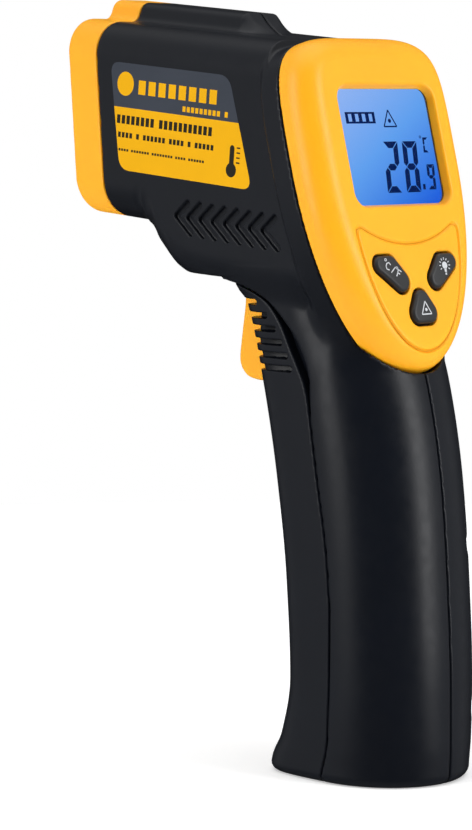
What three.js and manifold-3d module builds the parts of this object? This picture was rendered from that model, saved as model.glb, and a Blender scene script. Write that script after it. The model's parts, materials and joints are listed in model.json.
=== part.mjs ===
// Pistol-grip infrared thermometer, standing on the sole of its grip. Millimetres, +Z up, muzzle towards +Y,
// display towards -Y. The origin is on the ground, under the middle of the object's box.
//
// Three frames are used. The standing frame holds the grip. The barrel frame is pitched up by MUZZLE_LIFT
// and has the barrel along Y. The face frame lies on the display's face: x across, y up along the face,
// z out towards the user, so a depth d below the face is at z = -d.

import * as THREE from 'three';
import { mergeVertices } from 'three/addons/utils/BufferGeometryUtils.js';
import Module from 'manifold-3d';

const wasm = await Module();
wasm.setup();

// ---------------------------------------------------------------- driving dimensions
const GAP = 0.3; // clearance between neighbouring pieces
const WALL = 1.9; // moulded wall thickness
const SPLIT = 0.15; // half the gap between the two half shells
const FAR = 60; // reach of a cutting tool past the object

const MUZZLE_LIFT = THREE.MathUtils.degToRad(5.2);
const SOLE_DROP = 3; // height of the barrel frame's origin over the ground
const MIDDLE = 25.2; // from the grip's axis to the middle of the object's length

const FACE = { lean: THREE.MathUtils.degToRad(19.7), y: 10.4, z: 135.3, depth: 7.4 };
const NOSE = { lean: THREE.MathUtils.degToRad(9.6), y: 73.6, z: 133.4, length: 9.4 };
const BARREL = { halfWidth: 19.2, top: 143.5, bottom: 102.8, round: 7.5 };
const RIDGE = { halfWidth: 6, top: 147.6, round: 3, flatEnd: 44.4, rampEnd: 38.9 };
const COLLAR = { front: 13.8, fillet: 2.2 };
const SENSOR_Z = 123.2; // height of the sensor's axis in the barrel frame
const LASER_Z = 142.4; // height of the laser's axis in the barrel frame

// The display end's egg-shaped outline in the face frame: a squarish top half and a rounder bottom half.
const EGG = { halfWidth: 22.2, middle: -15.2, up: 26.7, down: 42.2, upPower: 4.6, downPower: 2.05 };

// Grip profile in the standing frame: its front and rear at some heights, smoothly joined.
const GRIP = { halfWidth: 17.2, frontPower: 4.5, top: 101 };
const GRIP_FRONT = [[2.2, 17], [8, 13.9], [20, 11.3], [40, 12.4], [60, 15.1], [80, 19.2], [97, 24.2], [101, 27.5]];
const GRIP_REAR = [[2.2, -21.2], [8, -21.4], [20, -21.3], [40, -20.3], [60, -18.5], [80, -14.6], [97, -7.2], [101, -5]];
const SOLE_ROUND = 2; // rounding at the sole's edge

// Side view of the parting line between the battery door and the shells, from the bottom up, as y, z.
const SEAM_FOOT = [[-0.9, -1], [-2.6, 4]];
const SEAM = [[-3.4, 8], [-3.9, 20], [-4, 34], [-3.2, 45], [-0.2, 63], [1.5, 74], [2, 79.5], [3.2, 83.6],
  [6, 88.6], [10.8, 93.9], [15.5, 97]];
const DOOR_TOP = [[31, 100.2], [FAR, 100.2], [FAR, -1]];

const DOOR_PIN = { y: 9.3, z: 3.5, r: 1, length: 27, ear: 2.3 };
const TRIGGER = { y: 24, z: 103.6, halfWidth: 5.3, pin: 1.2, pinHalf: 10 };
const BATTERY = { width: 26.5, thick: 17.5, tall: 48.5, y: -1.3, z: 6.4 };
const LCD = { width: 27.2, height: 24.4, x: 1, middle: -11.9 }; // the window's opening, a little to the right
const BOARD = { depth: 9.2, thick: 1.6 };
const SCREW = { shank: 1.05, head: 2.2, headHeight: 1.8, boss: 2.8 };

// Housing screws, driven from the right: place in their frame, how far out the head's seat is, and how far the
// tip reaches past the middle.
const SCREWS = [
  { name: 'screw_grip_low', frame: 'stand', y: -15.6, z: 14, seat: 8, reach: 8 },
  { name: 'screw_grip_high', frame: 'stand', y: -14.2, z: 47, seat: 8, reach: 8 },
  { name: 'screw_neck', frame: 'stand', y: 6, z: 92, seat: 12.5, reach: 11.8 },
  { name: 'screw_barrel_rear', frame: 'barrel', y: 29.3, z: 130.5, seat: 15.2, reach: 11.8 },
  { name: 'screw_barrel_front', frame: 'barrel', y: 60, z: 107.5, seat: 14.7, reach: 11.8 },
];

// The keys' outlines, each the hull of three circles in the face frame: x, y, radius, anticlockwise.
const UNIT_KEY = [[-4.8, -39.4, 2.3], [-7.4, -36, 2.1], [-10, -35.8, 1.9]];
const LASER_KEY = [[0, -43, 1.9], [-2.1, -46.3, 2.1], [2.1, -46.3, 2.1]];

// ---------------------------------------------------------------- materials
const plastic = (color, roughness) => new THREE.MeshStandardMaterial({ color, roughness, metalness: 0 });
const metal = (color, roughness) => new THREE.MeshStandardMaterial({ color, roughness, metalness: 1 });
const CHARCOAL = plastic(0x232529, 0.45);
const YELLOW = plastic(0xffc040, 0.42);
const RUBBER = plastic(0x2e2f33, 0.75);
const STICKER = plastic(0xffc300, 0.5);
const CLEAR = plastic(0xdde8f4, 0.05);
const LCD_BLUE = plastic(0x3f7ef2, 0.2);
const MILKY = plastic(0xeef2f6, 0.4);
const GREEN_BOARD = plastic(0x1f6b3a, 0.5);
const BLACK_PART = plastic(0x16171a, 0.55);
const FOAM = plastic(0x3a3a3c, 0.95);
const RED_WIRE = plastic(0xb3201c, 0.5);
const BATTERY_SKIN = plastic(0x8f9499, 0.35);
const STEEL = metal(0xb9bcc0, 0.3);
const BRASS = metal(0xc9a24b, 0.3);
const LENS = plastic(0x55606c, 0.1);

// ---------------------------------------------------------------- frames
const standPlace = new THREE.Matrix4();
const barrelPlace = new THREE.Matrix4().makeRotationX(MUZZLE_LIFT).setPosition(0, 0, SOLE_DROP);
const onBarrel = (lean, y, z) => new THREE.Matrix4().makeRotationX(Math.PI / 2 - lean).setPosition(0, y, z);
const faceOnBarrel = onBarrel(FACE.lean, FACE.y, FACE.z);
const noseOnBarrel = onBarrel(NOSE.lean, NOSE.y, NOSE.z);
const facePlace = barrelPlace.clone().multiply(faceOnBarrel);
const nosePlace = barrelPlace.clone().multiply(noseOnBarrel);

function groupAt(parent, matrix) {
  const group = new THREE.Group();
  matrix.decompose(group.position, group.quaternion, group.scale);
  parent.add(group);
  return group;
}

const thermometer = new THREE.Group();
const stand = groupAt(thermometer, new THREE.Matrix4().setPosition(0, -MIDDLE, 0));
const barrel = groupAt(stand, barrelPlace);
const face = groupAt(barrel, faceOnBarrel);

// ---------------------------------------------------------------- making and cutting solids
function solid(geometry, place = standPlace) {
  const bare = geometry.clone().applyMatrix4(place);
  bare.deleteAttribute('normal');
  bare.deleteAttribute('uv');
  const merged = mergeVertices(bare);
  return new wasm.Manifold(new wasm.Mesh({
    numProp: 3,
    vertProperties: new Float32Array(merged.attributes.position.array),
    triVerts: new Uint32Array(merged.index.array),
  }));
}

function geometryOf(body) {
  const mesh = body.getMesh();
  const geometry = new THREE.BufferGeometry();
  geometry.setAttribute('position', new THREE.BufferAttribute(new Float32Array(mesh.vertProperties), 3));
  geometry.setIndex(new THREE.BufferAttribute(new Uint32Array(mesh.triVerts), 1));
  geometry.computeVertexNormals();
  return geometry;
}

function piece(name, shape, material, parent = stand) {
  const geometry = shape instanceof THREE.BufferGeometry ? shape : geometryOf(shape);
  const mesh = new THREE.Mesh(geometry, material);
  mesh.name = name;
  parent.add(mesh);
  return mesh;
}

// A box between two corners.
function box(low, high) {
  const size = high.map((value, i) => value - low[i]);
  const middle = high.map((value, i) => (value + low[i]) / 2);
  return new THREE.BoxGeometry(...size).translate(...middle);
}

// A round bar along X from x0 to x1.
function barX(radius, y, z, x0, x1, sides = 12) {
  const bar = new THREE.CylinderGeometry(radius, radius, x1 - x0, sides);
  return bar.rotateZ(Math.PI / 2).translate((x0 + x1) / 2, y, z);
}

// A solid of revolution round an axis along Y, from radius and y pairs.
function turned(profile, z = 0, sides = 20) {
  const points = profile.map(([r, y]) => new THREE.Vector2(r, y));
  return new THREE.LatheGeometry(points, sides).translate(0, 0, z);
}

// A side view of y, z points pushed out to both sides of the centre plane, its edges rounded.
function sideBody(points, halfWidth, round = 0, inset = 0) {
  const shape = new THREE.Shape(points.map(([y, z]) => new THREE.Vector2(y, z)));
  const bevel = Math.max(round - inset, 0);
  const half = halfWidth - inset - bevel;
  const geometry = new THREE.ExtrudeGeometry(shape, {
    depth: 2 * half,
    bevelEnabled: bevel > 0 || inset > 0,
    bevelThickness: bevel,
    bevelSize: bevel,
    bevelOffset: -bevel - inset,
    bevelSegments: 3,
  });
  const sideways = new THREE.Matrix4().makeBasis(
    new THREE.Vector3(0, 1, 0), new THREE.Vector3(0, 0, 1), new THREE.Vector3(1, 0, 0));
  return geometry.translate(0, 0, -half).applyMatrix4(sideways);
}

// A closed skin through rings of equally many points, capped at both ends.
function loft(rings) {
  const count = rings[0].length;
  const points = rings.flat();
  const index = [];
  for (let ring = 0; ring + 1 < rings.length; ring++) {
    for (let i = 0; i < count; i++) {
      const a = ring * count + i;
      const b = ring * count + (i + 1) % count;
      index.push(a, b, b + count, a, b + count, a + count);
    }
  }
  for (const ring of [0, rings.length - 1]) {
    const centre = rings[ring].reduce((sum, p) => sum.add(p), new THREE.Vector3()).divideScalar(count);
    const hub = points.push(centre) - 1;
    for (let i = 0; i < count; i++) {
      const a = ring * count + i;
      const b = ring * count + (i + 1) % count;
      index.push(...(ring === 0 ? [hub, b, a] : [hub, a, b]));
    }
  }
  let volume = 0;
  for (let i = 0; i < index.length; i += 3) {
    const [a, b, c] = [points[index[i]], points[index[i + 1]], points[index[i + 2]]];
    volume += a.dot(new THREE.Vector3().crossVectors(b, c));
  }
  if (volume < 0) index.reverse();
  const geometry = new THREE.BufferGeometry().setFromPoints(points);
  geometry.setIndex(index);
  geometry.computeVertexNormals();
  return geometry;
}

const signedPower = (value, power) => Math.sign(value) * Math.abs(value) ** power;

// A ring of the egg outline at a depth below the face, pulled in by inset.
function eggRing(depth, inset, sides = 32) {
  return Array.from({ length: sides }, (unused, i) => {
    const angle = 2 * Math.PI * i / sides;
    const above = Math.sin(angle) > 0;
    const power = 2 / (above ? EGG.upPower : EGG.downPower);
    const reach = above ? EGG.up - 0.85 * inset : EGG.down - 0.7 * inset;
    const x = (EGG.halfWidth - inset) * signedPower(Math.cos(angle), power);
    return new THREE.Vector3(x, EGG.middle + reach * signedPower(Math.sin(angle), power), -depth);
  });
}

// A prism of the egg outline between two depths.
const eggPrism = (inset, shallow, deep) => loft([eggRing(shallow, inset), eggRing(deep, inset)]);

const gripFront = new THREE.SplineCurve(GRIP_FRONT.map(([z, y]) => new THREE.Vector2(z, y)));
const gripRear = new THREE.SplineCurve(GRIP_REAR.map(([z, y]) => new THREE.Vector2(z, y)));

// A smooth profile's y at a height: its curve is walked until it reaches that height.
function profileAt(curve, height) {
  let low = 0;
  let high = 1;
  for (let step = 0; step < 30; step++) {
    const middle = (low + high) / 2;
    if (curve.getPoint(middle).x < height) low = middle;
    else high = middle;
  }
  return curve.getPoint(low).y;
}

// A level ring of the grip, boxy in front and oval behind, pulled in by inset.
function gripRing(height, level, inset, frontLimit = FAR, sides = 28) {
  const front = Math.min(profileAt(gripFront, level) - inset, frontLimit);
  const rear = profileAt(gripRear, level) + inset;
  const middle = (profileAt(gripFront, level) + profileAt(gripRear, level)) / 2;
  return Array.from({ length: sides }, (unused, i) => {
    const angle = 2 * Math.PI * i / sides;
    const ahead = Math.sin(angle) > 0;
    const power = 2 / (ahead ? GRIP.frontPower : 2);
    const reach = ahead ? front - middle : middle - rear;
    const x = (GRIP.halfWidth - inset) * signedPower(Math.cos(angle), power);
    return new THREE.Vector3(x, middle + reach * signedPower(Math.sin(angle), power), height);
  });
}

const GRIP_LEVELS = [SOLE_ROUND, 6, 12, 22, 40, 58, 74, 84, 91, 96, GRIP.top];

function gripSkin() {
  const sole = [0, 0.3, 0.6].map((share) => {
    const inset = SOLE_ROUND * (1 - Math.sin(Math.acos(1 - share)));
    return gripRing(SOLE_ROUND * share, SOLE_ROUND + 0.2, inset);
  });
  return loft([...sole, ...GRIP_LEVELS.map((z) => gripRing(z, Math.max(z, SOLE_ROUND + 0.2), 0))]);
}

function gripInside(inset, floor, frontLimit) {
  const levels = [floor, ...GRIP_LEVELS.slice(1), GRIP.top + 3];
  return loft(levels.map((z) => gripRing(z, Math.min(Math.max(z, 2.4), GRIP.top - 0.1), inset, frontLimit)));
}

// A block in the nose frame between two distances ahead of the housing's front edge.
function noseSlab(from, to, place) {
  return solid(box([-FAR, -FAR, -to], [FAR, FAR, -from]), place);
}

// ---------------------------------------------------------------- the head's side views, barrel frame
function onFace(up, depth) {
  const point = new THREE.Vector3(0, up, -depth).applyMatrix4(faceOnBarrel);
  return [point.y, point.z];
}

const BARREL_SIDE = [
  [95, BARREL.bottom], [95, BARREL.top], onFace(10.2, 4), onFace(-20, 4), onFace(-28, 9.5), [5.5, 92.2],
  [15, 91.9], [30, 92.4], [38, 92.6], [44, 93], [49, 94.2], [54, 97.5], [58.2, 101.5], [62, BARREL.bottom],
];
const RIDGE_SIDE = [
  [95, 138], [95, RIDGE.top], [RIDGE.flatEnd, RIDGE.top], [RIDGE.rampEnd, BARREL.top], [RIDGE.rampEnd, 138],
];

function barrelBody(inset, place) {
  return solid(sideBody(BARREL_SIDE, BARREL.halfWidth, BARREL.round, inset), place)
    .add(solid(sideBody(RIDGE_SIDE, RIDGE.halfWidth, RIDGE.round, inset), place));
}

// The collar behind the display frame, its front edge rounded down to the barrel.
function collarBody(inset, from, to) {
  const edge = COLLAR.fillet;
  const rings = [[from, 0], [to - edge, 0], [to - 0.4 * edge, 0.2 * edge], [to, edge]];
  return solid(loft(rings.map(([depth, more]) => eggRing(depth, inset + more))), facePlace);
}

// ---------------------------------------------------------------- side view of the battery door
const asPoints = (list) => list.map(([y, z]) => new THREE.Vector2(y, z));

function doorSide(foot, shiftY, shiftZ) {
  const seam = new THREE.SplineCurve(asPoints([...foot, ...SEAM])).getPoints(16);
  const outline = [...seam, ...asPoints(DOOR_TOP)];
  return outline.map((point) => [point.x + shiftY, point.y + shiftZ]);
}

// ---------------------------------------------------------------- the two half shells
const TONGUE = { halfWidth: 13.9, narrow: 11.5, shoulder: 4.4, front: 8, top: 2.3 };
const frameOf = { stand: standPlace, barrel: barrelPlace };

const outerBody = solid(gripSkin()).add(barrelBody(0, barrelPlace)).add(collarBody(0, 6, COLLAR.front));
const hollow = solid(gripInside(WALL, 2.4, 19))
  .add(barrelBody(WALL, barrelPlace))
  .add(collarBody(WALL, 4, COLLAR.front - 0.5));

function shellBosses() {
  let bosses = solid(barX(3, TRIGGER.y, TRIGGER.z, TRIGGER.halfWidth + 0.5, 18.4))
    .add(solid(barX(3, TRIGGER.y, TRIGGER.z, -18.4, -TRIGGER.halfWidth - 0.5)))
    .add(solid(box([-18, 12.6, 110.4], [18, 18.4, 112]))); // the shelf over the trigger's spring
  for (const { frame, y, z } of SCREWS) {
    bosses = bosses.add(solid(barX(SCREW.boss, y, z, -18.6, 18.6), frameOf[frame]));
  }
  return bosses;
}

function shellHoles() {
  const { y, z, pin, pinHalf } = TRIGGER;
  let holes = solid(barX(pin + GAP, y, z, -pinHalf - GAP, pinHalf + GAP));
  for (const { frame, y: screwY, z: screwZ, seat, reach } of SCREWS) {
    const place = frameOf[frame];
    holes = holes
      .add(solid(barX(SCREW.shank + GAP, screwY, screwZ, -reach - GAP, seat + 1), place))
      .add(solid(barX(SCREW.head + GAP, screwY, screwZ, seat, FAR / 2), place));
  }
  return holes;
}

// The floor's tongue under the door, with the two ears that carry the door's pin.
function floorTongue() {
  const { halfWidth, narrow, shoulder, front, top } = TONGUE;
  const { y, z, ear } = DOOR_PIN;
  return solid(box([-halfWidth, -6, 0], [halfWidth, shoulder, top]))
    .add(solid(box([-narrow, 0, 0], [narrow, front, top])))
    .add(solid(barX(ear, y, z, 5.5, narrow)))
    .add(solid(barX(ear, y, z, -narrow, -5.5)))
    .subtract(solid(barX(DOOR_PIN.r + GAP, y, z, -FAR, FAR)));
}

const LABEL_SIDE = [[69.6, 135.6], [34.4, 135.6], [26, 113.4], [65, 113.4]];
const LABEL = { floor: 18.7, thick: 0.2, round: 1.8 };

// The sticker's outline with rounded corners, grown by a margin, between two distances from the centre.
function labelBody(margin, x0, x1) {
  const corners = LABEL_SIDE.map(([y, z]) => new THREE.Vector2(y, z));
  const shape = new THREE.Shape();
  corners.forEach((corner, i) => {
    const before = corners[(i + 3) % 4].clone().sub(corner).setLength(LABEL.round).add(corner);
    const after = corners[(i + 1) % 4].clone().sub(corner).setLength(LABEL.round).add(corner);
    if (i === 0) shape.moveTo(before.x, before.y);
    else shape.lineTo(before.x, before.y);
    shape.quadraticCurveTo(corner.x, corner.y, after.x, after.y);
  });
  const flat = new THREE.ExtrudeGeometry(shape, {
    depth: x1 - x0, curveSegments: 4, bevelEnabled: margin > 0, bevelThickness: 0, bevelSize: margin,
    bevelSegments: 1,
  });
  const sideways = new THREE.Matrix4().makeBasis(
    new THREE.Vector3(0, 1, 0), new THREE.Vector3(0, 0, 1), new THREE.Vector3(1, 0, 0));
  return flat.applyMatrix4(sideways).translate(x0, 0, 0);
}

const doorCut = solid(sideBody(doorSide([[-3.4, -1], [-3.4, 4]], -GAP, GAP), FAR / 2));
const displayCut = solid(eggPrism(-GAP, -FAR / 2, FACE.depth + GAP), facePlace);
const triggerSlot = solid(box([-5.8, 13, 90], [5.8, 34.5, 104]));
const labelRecess = solid(labelBody(GAP, -22, -LABEL.floor), barrelPlace)
  .add(solid(labelBody(GAP, LABEL.floor, 22), barrelPlace));

const shell = outerBody
  .subtract(hollow.subtract(shellBosses()))
  .subtract(doorCut)
  .add(floorTongue())
  .subtract(displayCut)
  .subtract(triggerSlot)
  .subtract(labelRecess)
  .subtract(shellHoles())
  .subtract(noseSlab(-GAP / 2, FAR, nosePlace));

piece('housing_left', shell.intersect(solid(box([-FAR, -FAR, -9], [-SPLIT, 2 * FAR, 3 * FAR]))), CHARCOAL);
piece('housing_right', shell.intersect(solid(box([SPLIT, -FAR, -9], [FAR, 2 * FAR, 3 * FAR]))), CHARCOAL);

for (const side of [-1, 1]) {
  const near = LABEL.floor + GAP;
  const x0 = side < 0 ? -near - LABEL.thick : near;
  piece(side < 0 ? 'side_label_left' : 'side_label_right', labelBody(0, x0, x0 + LABEL.thick), STICKER, barrel);
}

// ---------------------------------------------------------------- housing screws
for (const { name, frame, y, z, seat, reach } of SCREWS) {
  const { shank, head, headHeight } = SCREW;
  const profile = [[0, -reach], [shank * 0.6, -reach], [shank, 1 - reach], [shank, seat + GAP],
    [head, seat + GAP], [head, seat + GAP + 0.6 * headHeight], [0.6 * head, seat + GAP + headHeight],
    [0.5, seat + GAP + headHeight], [0, seat + headHeight - 0.6]];
  const screw = turned(profile, 0, 10).rotateZ(-Math.PI / 2).translate(0, y, z);
  piece(name, screw, STEEL, frame === 'stand' ? stand : barrel);
}

// ---------------------------------------------------------------- battery door, pin and pad
const RIB = { count: 6, top: 95.7, pitch: 2.6, height: 1.25, depth: 1.1, fromSeam: 3.5 };

function doorRibs() {
  const seam = new THREE.SplineCurve(SEAM.map(([y, z]) => new THREE.Vector2(z, y)));
  let slots = null;
  for (let i = 0; i < RIB.count; i++) {
    const z = RIB.top - i * RIB.pitch;
    const y = profileAt(seam, z) + RIB.fromSeam;
    for (const x of [-17, 17]) {
      const slot = solid(box([x - 9, y, z - RIB.height / 2], [x + 9, FAR, z + RIB.height / 2]));
      slots = slots ? slots.add(slot) : slot;
    }
  }
  const core = loft(GRIP_LEVELS.slice(5).map((z) => gripRing(z, z, RIB.depth)));
  return slots.subtract(solid(core));
}

function batteryDoor() {
  const { y, z, ear, r } = DOOR_PIN;
  const blank = solid(gripSkin()).intersect(solid(sideBody(doorSide(SEAM_FOOT, 0, 0), FAR / 2)));
  return blank
    .subtract(solid(gripInside(WALL, 2.4, 19)))
    .subtract(solid(box([-14.2, -FAR, -1], [14.2, 6.5, 2.6])))
    .subtract(solid(box([-11.8, -FAR, -1], [11.8, 11.9, 2.6])))
    .subtract(solid(box([-6.3, -FAR, 75], [6.3, FAR, 2 * FAR])))
    .subtract(doorRibs())
    .add(solid(barX(ear, y, z, 11.9, 15)))
    .add(solid(barX(ear, y, z, -15, -11.9)))
    .subtract(solid(barX(r + GAP, y, z, -14, 14)));
}

piece('battery_door', batteryDoor(), CHARCOAL);
piece('door_pin', barX(DOOR_PIN.r, DOOR_PIN.y, DOOR_PIN.z, -DOOR_PIN.length / 2, DOOR_PIN.length / 2, 16), STEEL);
piece('door_foam', box([-9, 7.7, 14], [9, 8.6, 40]), FOAM);

// ---------------------------------------------------------------- nose cap
function noseCap() {
  const inside = barrelBody(WALL, standPlace).intersect(noseSlab(-FAR, NOSE.length - WALL, noseOnBarrel));
  const socket = turned([[0, 72.6], [11.2, 72.6], [11.2, 75], [16.4, 86], [16.4, 95], [0, 95]], SENSOR_Z);
  const mouth = turned([[0, 60], [9.6, 60], [9.6, 74.6], [8.2, 75], [8.2, 76], [14, 83.5], [14, 95], [0, 95]],
    SENSOR_Z);
  const laserBlock = turned([[0, 77], [4.1, 77], [4.1, 95], [0, 95]], LASER_Z);
  const laserHole = turned([[0, 60], [3.3, 60], [3.3, 79.3], [1.7, 79.3], [1.7, 81.2], [2.9, 81.2], [2.9, 95],
    [0, 95]], LASER_Z, 20);
  return barrelBody(0, standPlace)
    .subtract(inside)
    .add(solid(socket))
    .add(solid(laserBlock))
    .subtract(solid(mouth))
    .subtract(solid(laserHole))
    .intersect(noseSlab(GAP / 2, NOSE.length, noseOnBarrel));
}

piece('nose_cap', noseCap(), YELLOW, barrel);

// ---------------------------------------------------------------- sensor and laser, along the barrel
piece('ir_lens', turned([[0, 71.3], [7.8, 71.3], [7.8, 72.3], [5.5, 73.2], [2.8, 73.7], [0, 73.8]], SENSOR_Z),
  LENS, barrel);
piece('sensor_tube', turned([[6.8, 57.5], [9.3, 57.5], [9.3, 74.2], [8.1, 74.2], [8.1, 71], [6.8, 71],
  [6.8, 57.5]], SENSOR_Z), BLACK_PART, barrel);
piece('thermopile', turned([[0, 57.7], [4.7, 57.7], [4.7, 58.4], [4.1, 58.4], [4.1, 62], [0, 62]], SENSOR_Z, 20),
  STEEL, barrel);
piece('sensor_board', box([-8.5, 56, SENSOR_Z - 8.5], [8.5, 57.2, SENSOR_Z + 8.5]), GREEN_BOARD, barrel);
piece('laser_module', turned([[0, 63], [2.6, 63], [3, 63.4], [3, 79], [1.1, 79], [1.1, 77.5], [0, 77.5]],
  LASER_Z, 20), BRASS, barrel);
piece('laser_window', turned([[0, 81.5], [2.6, 81.5], [2.6, 82.3], [0, 82.3]], LASER_Z, 20), CLEAR, barrel);

// ---------------------------------------------------------------- display frame
// Rings from the back edge to the flat face, rounding over: depth and how far the outline is pulled in.
const FRAME_RINGS = [[FACE.depth, 0], [6, 0.1], [4.2, 0.6], [2.6, 1.6], [1.3, 3], [0.4, 4.6], [0, 6]];

function roundedRect(width, height, round, middleY, from, to) {
  const [w, h] = [width / 2, height / 2];
  const shape = new THREE.Shape();
  shape.absarc(w - round, h - round, round, 0, Math.PI / 2);
  shape.absarc(round - w, h - round, round, Math.PI / 2, Math.PI);
  shape.absarc(round - w, round - h, round, Math.PI, 1.5 * Math.PI);
  shape.absarc(w - round, round - h, round, 1.5 * Math.PI, 2 * Math.PI);
  const plate = new THREE.ExtrudeGeometry(shape, { depth: to - from, bevelEnabled: false, curveSegments: 4 });
  return plate.translate(LCD.x, middleY, -to);
}

// The hull of circles given anticlockwise as x, y, radius, as a prism between two depths.
function hullPrism(circles, grow, shallow, deep) {
  const shape = new THREE.Shape();
  const leaving = circles.map(([x, y, r], i) => {
    const [nextX, nextY, nextR] = circles[(i + 1) % circles.length];
    const apart = Math.hypot(nextX - x, nextY - y);
    return Math.atan2(nextY - y, nextX - x) - Math.acos((r - nextR) / apart);
  });
  circles.forEach(([x, y, r], i) => {
    const arriving = leaving[(i + circles.length - 1) % circles.length];
    shape.absarc(x, y, r + grow, arriving, leaving[i]);
  });
  const prism = new THREE.ExtrudeGeometry(shape, { depth: deep - shallow, bevelEnabled: false, curveSegments: 5 });
  return prism.translate(0, 0, -deep);
}

const mirrored = (circles) => circles.map(([x, y, r]) => [-x, y, r]).reverse();
const KEYS = [
  { name: 'unit', circles: UNIT_KEY },
  { name: 'backlight', circles: mirrored(UNIT_KEY) },
  { name: 'laser', circles: LASER_KEY },
];
const keyMiddle = (circles) => [0, 1].map((axis) => circles.reduce((sum, c) => sum + c[axis], 0) / 3);

function displayBezel() {
  const skin = solid(loft(FRAME_RINGS.map(([depth, inset]) => eggRing(depth, inset))));
  const lowered = FRAME_RINGS.map(([depth, inset], i) => {
    const turn = Math.PI / 2 * i / (FRAME_RINGS.length - 1); // the wall's normal turns from sideways to straight
    return eggRing(depth + WALL * Math.sin(turn), inset + WALL * Math.cos(turn));
  });
  const inside = solid(loft([eggRing(FAR, WALL), ...lowered]));
  let bezel = skin.subtract(inside)
    .subtract(solid(roundedRect(LCD.width, LCD.height, 1.6, LCD.middle, -5, 5)));
  for (const { circles } of KEYS) bezel = bezel.subtract(solid(hullPrism(circles, GAP, -5, 5)));
  return bezel;
}

piece('display_bezel', displayBezel(), YELLOW, face);

// ---------------------------------------------------------------- display stack and main board
piece('display_window', roundedRect(30, 27, 2, LCD.middle, 2.2, 3.1), CLEAR, face);
piece('lcd_panel', roundedRect(29.4, 26, 0.8, LCD.middle, 3.5, 5.9), LCD_BLUE, face);
piece('backlight_guide', roundedRect(29.4, 26, 0.8, LCD.middle, 6.2, 8.3), MILKY, face);

const ring = solid(roundedRect(32.4, 28.6, 2.5, LCD.middle, 3.5, 8.9));
piece('lcd_frame', ring.subtract(solid(roundedRect(30, 26.6, 1, LCD.middle, 2, 10))), BLACK_PART, face);

const boardFrom = BOARD.depth;
const boardTo = BOARD.depth + BOARD.thick;
const BOARD_SCREWS = [[-15, -31], [15, -31]];

function mainBoard() {
  const outline = [[-16.8, 3], [-16.8, -34], [-7, -51], [7, -51], [16.8, -34], [16.8, 3]];
  const shape = new THREE.Shape(asPoints(outline));
  const plate = new THREE.ExtrudeGeometry(shape, { depth: BOARD.thick, bevelEnabled: false });
  let board = solid(plate.translate(0, 0, -boardTo));
  for (const [x, y] of BOARD_SCREWS) {
    const drill = new THREE.CylinderGeometry(1.2, 1.2, 8, 16).rotateX(Math.PI / 2).translate(x, y, -boardTo);
    board = board.subtract(solid(drill));
  }
  return board;
}

piece('main_board', mainBoard(), GREEN_BOARD, face);
piece('controller_chip', box([-6, -18, -boardTo - 2], [6, -6, -boardTo - GAP]), BLACK_PART, face);

for (const [x, y] of BOARD_SCREWS) {
  const profile = [[0, -4.2], [0.9, -4.2], [0.9, 0], [1.9, 0], [1.9, 0.9], [1, 1.4], [0, 1.4]];
  const screw = turned(profile, 0, 8).rotateX(Math.PI / 2).translate(x, y, GAP - boardFrom);
  piece(x < 0 ? 'board_screw_left' : 'board_screw_right', screw, STEEL, face);
}

// ---------------------------------------------------------------- keys and their switches
const KEY = { proud: 0.7, flange: 0.7, stem: 1.9 };

for (const { name, circles } of KEYS) {
  const [x, y] = keyMiddle(circles);
  const stem = new THREE.CylinderGeometry(KEY.stem, KEY.stem, 1.2, 20).rotateX(Math.PI / 2).translate(x, y, -3.5);
  const key = solid(hullPrism(circles, 0, -KEY.proud, 2.8))
    .add(solid(hullPrism(circles, KEY.flange, 2.2, 3)))
    .add(solid(stem));
  piece(`${name}_button`, key, RUBBER, face);

  const plunger = new THREE.CylinderGeometry(1.7, 1.7, 1, 16).rotateX(Math.PI / 2).translate(x, y, -5.6);
  const can = solid(box([x - 3, y - 3, -boardFrom + GAP], [x + 3, y + 3, -5.8]));
  piece(`${name}_switch`, can.add(solid(plunger)), BLACK_PART, face);
}

// ---------------------------------------------------------------- trigger, pin, spring and switch
const TRIGGER_SIDE = [[31.6, 100], [31.9, 94.7], [32.8, 88.6], [33.5, 83.6], [33.2, 81.2], [31.8, 79.4],
  [29.8, 78.6], [26.4, 78.4], [22.6, 79], [20.6, 81], [19.4, 86], [18.6, 92], [17.8, 98.5], [14.2, 102],
  [13.4, 102.4], [13.4, 104.4], [20.5, 105.6], [24, 107], [27.4, 105.2]];

const trigger = solid(sideBody(TRIGGER_SIDE, TRIGGER.halfWidth, 1.2))
  .subtract(solid(barX(TRIGGER.pin + GAP, TRIGGER.y, TRIGGER.z, -FAR, FAR)));
piece('trigger', trigger, YELLOW);
piece('trigger_pin', barX(TRIGGER.pin, TRIGGER.y, TRIGGER.z, -TRIGGER.pinHalf, TRIGGER.pinHalf, 16), STEEL);

// A coil spring standing on the trigger's rear arm, under the shells' shelf.
class Helix extends THREE.Curve {
  constructor(radius, rise, turns) {
    super();
    this.radius = radius;
    this.rise = rise;
    this.turns = turns;
  }

  getPoint(t, target = new THREE.Vector3()) {
    const angle = 2 * Math.PI * this.turns * t;
    return target.set(this.radius * Math.cos(angle), this.radius * Math.sin(angle), this.rise * t);
  }
}

const SPRING = { y: 15.6, from: 105.4, to: 109.6, radius: 1.8, wire: 0.3, turns: 4 };
const wireSection = new THREE.Shape(new THREE.Path().absarc(0, 0, SPRING.wire, 0, 2 * Math.PI).getPoints(3));
const spring = new THREE.ExtrudeGeometry(wireSection, {
  steps: 40, extrudePath: new Helix(SPRING.radius, SPRING.to - SPRING.from, SPRING.turns),
});
piece('trigger_spring', spring, STEEL).position.set(0, SPRING.y, SPRING.from);

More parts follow.
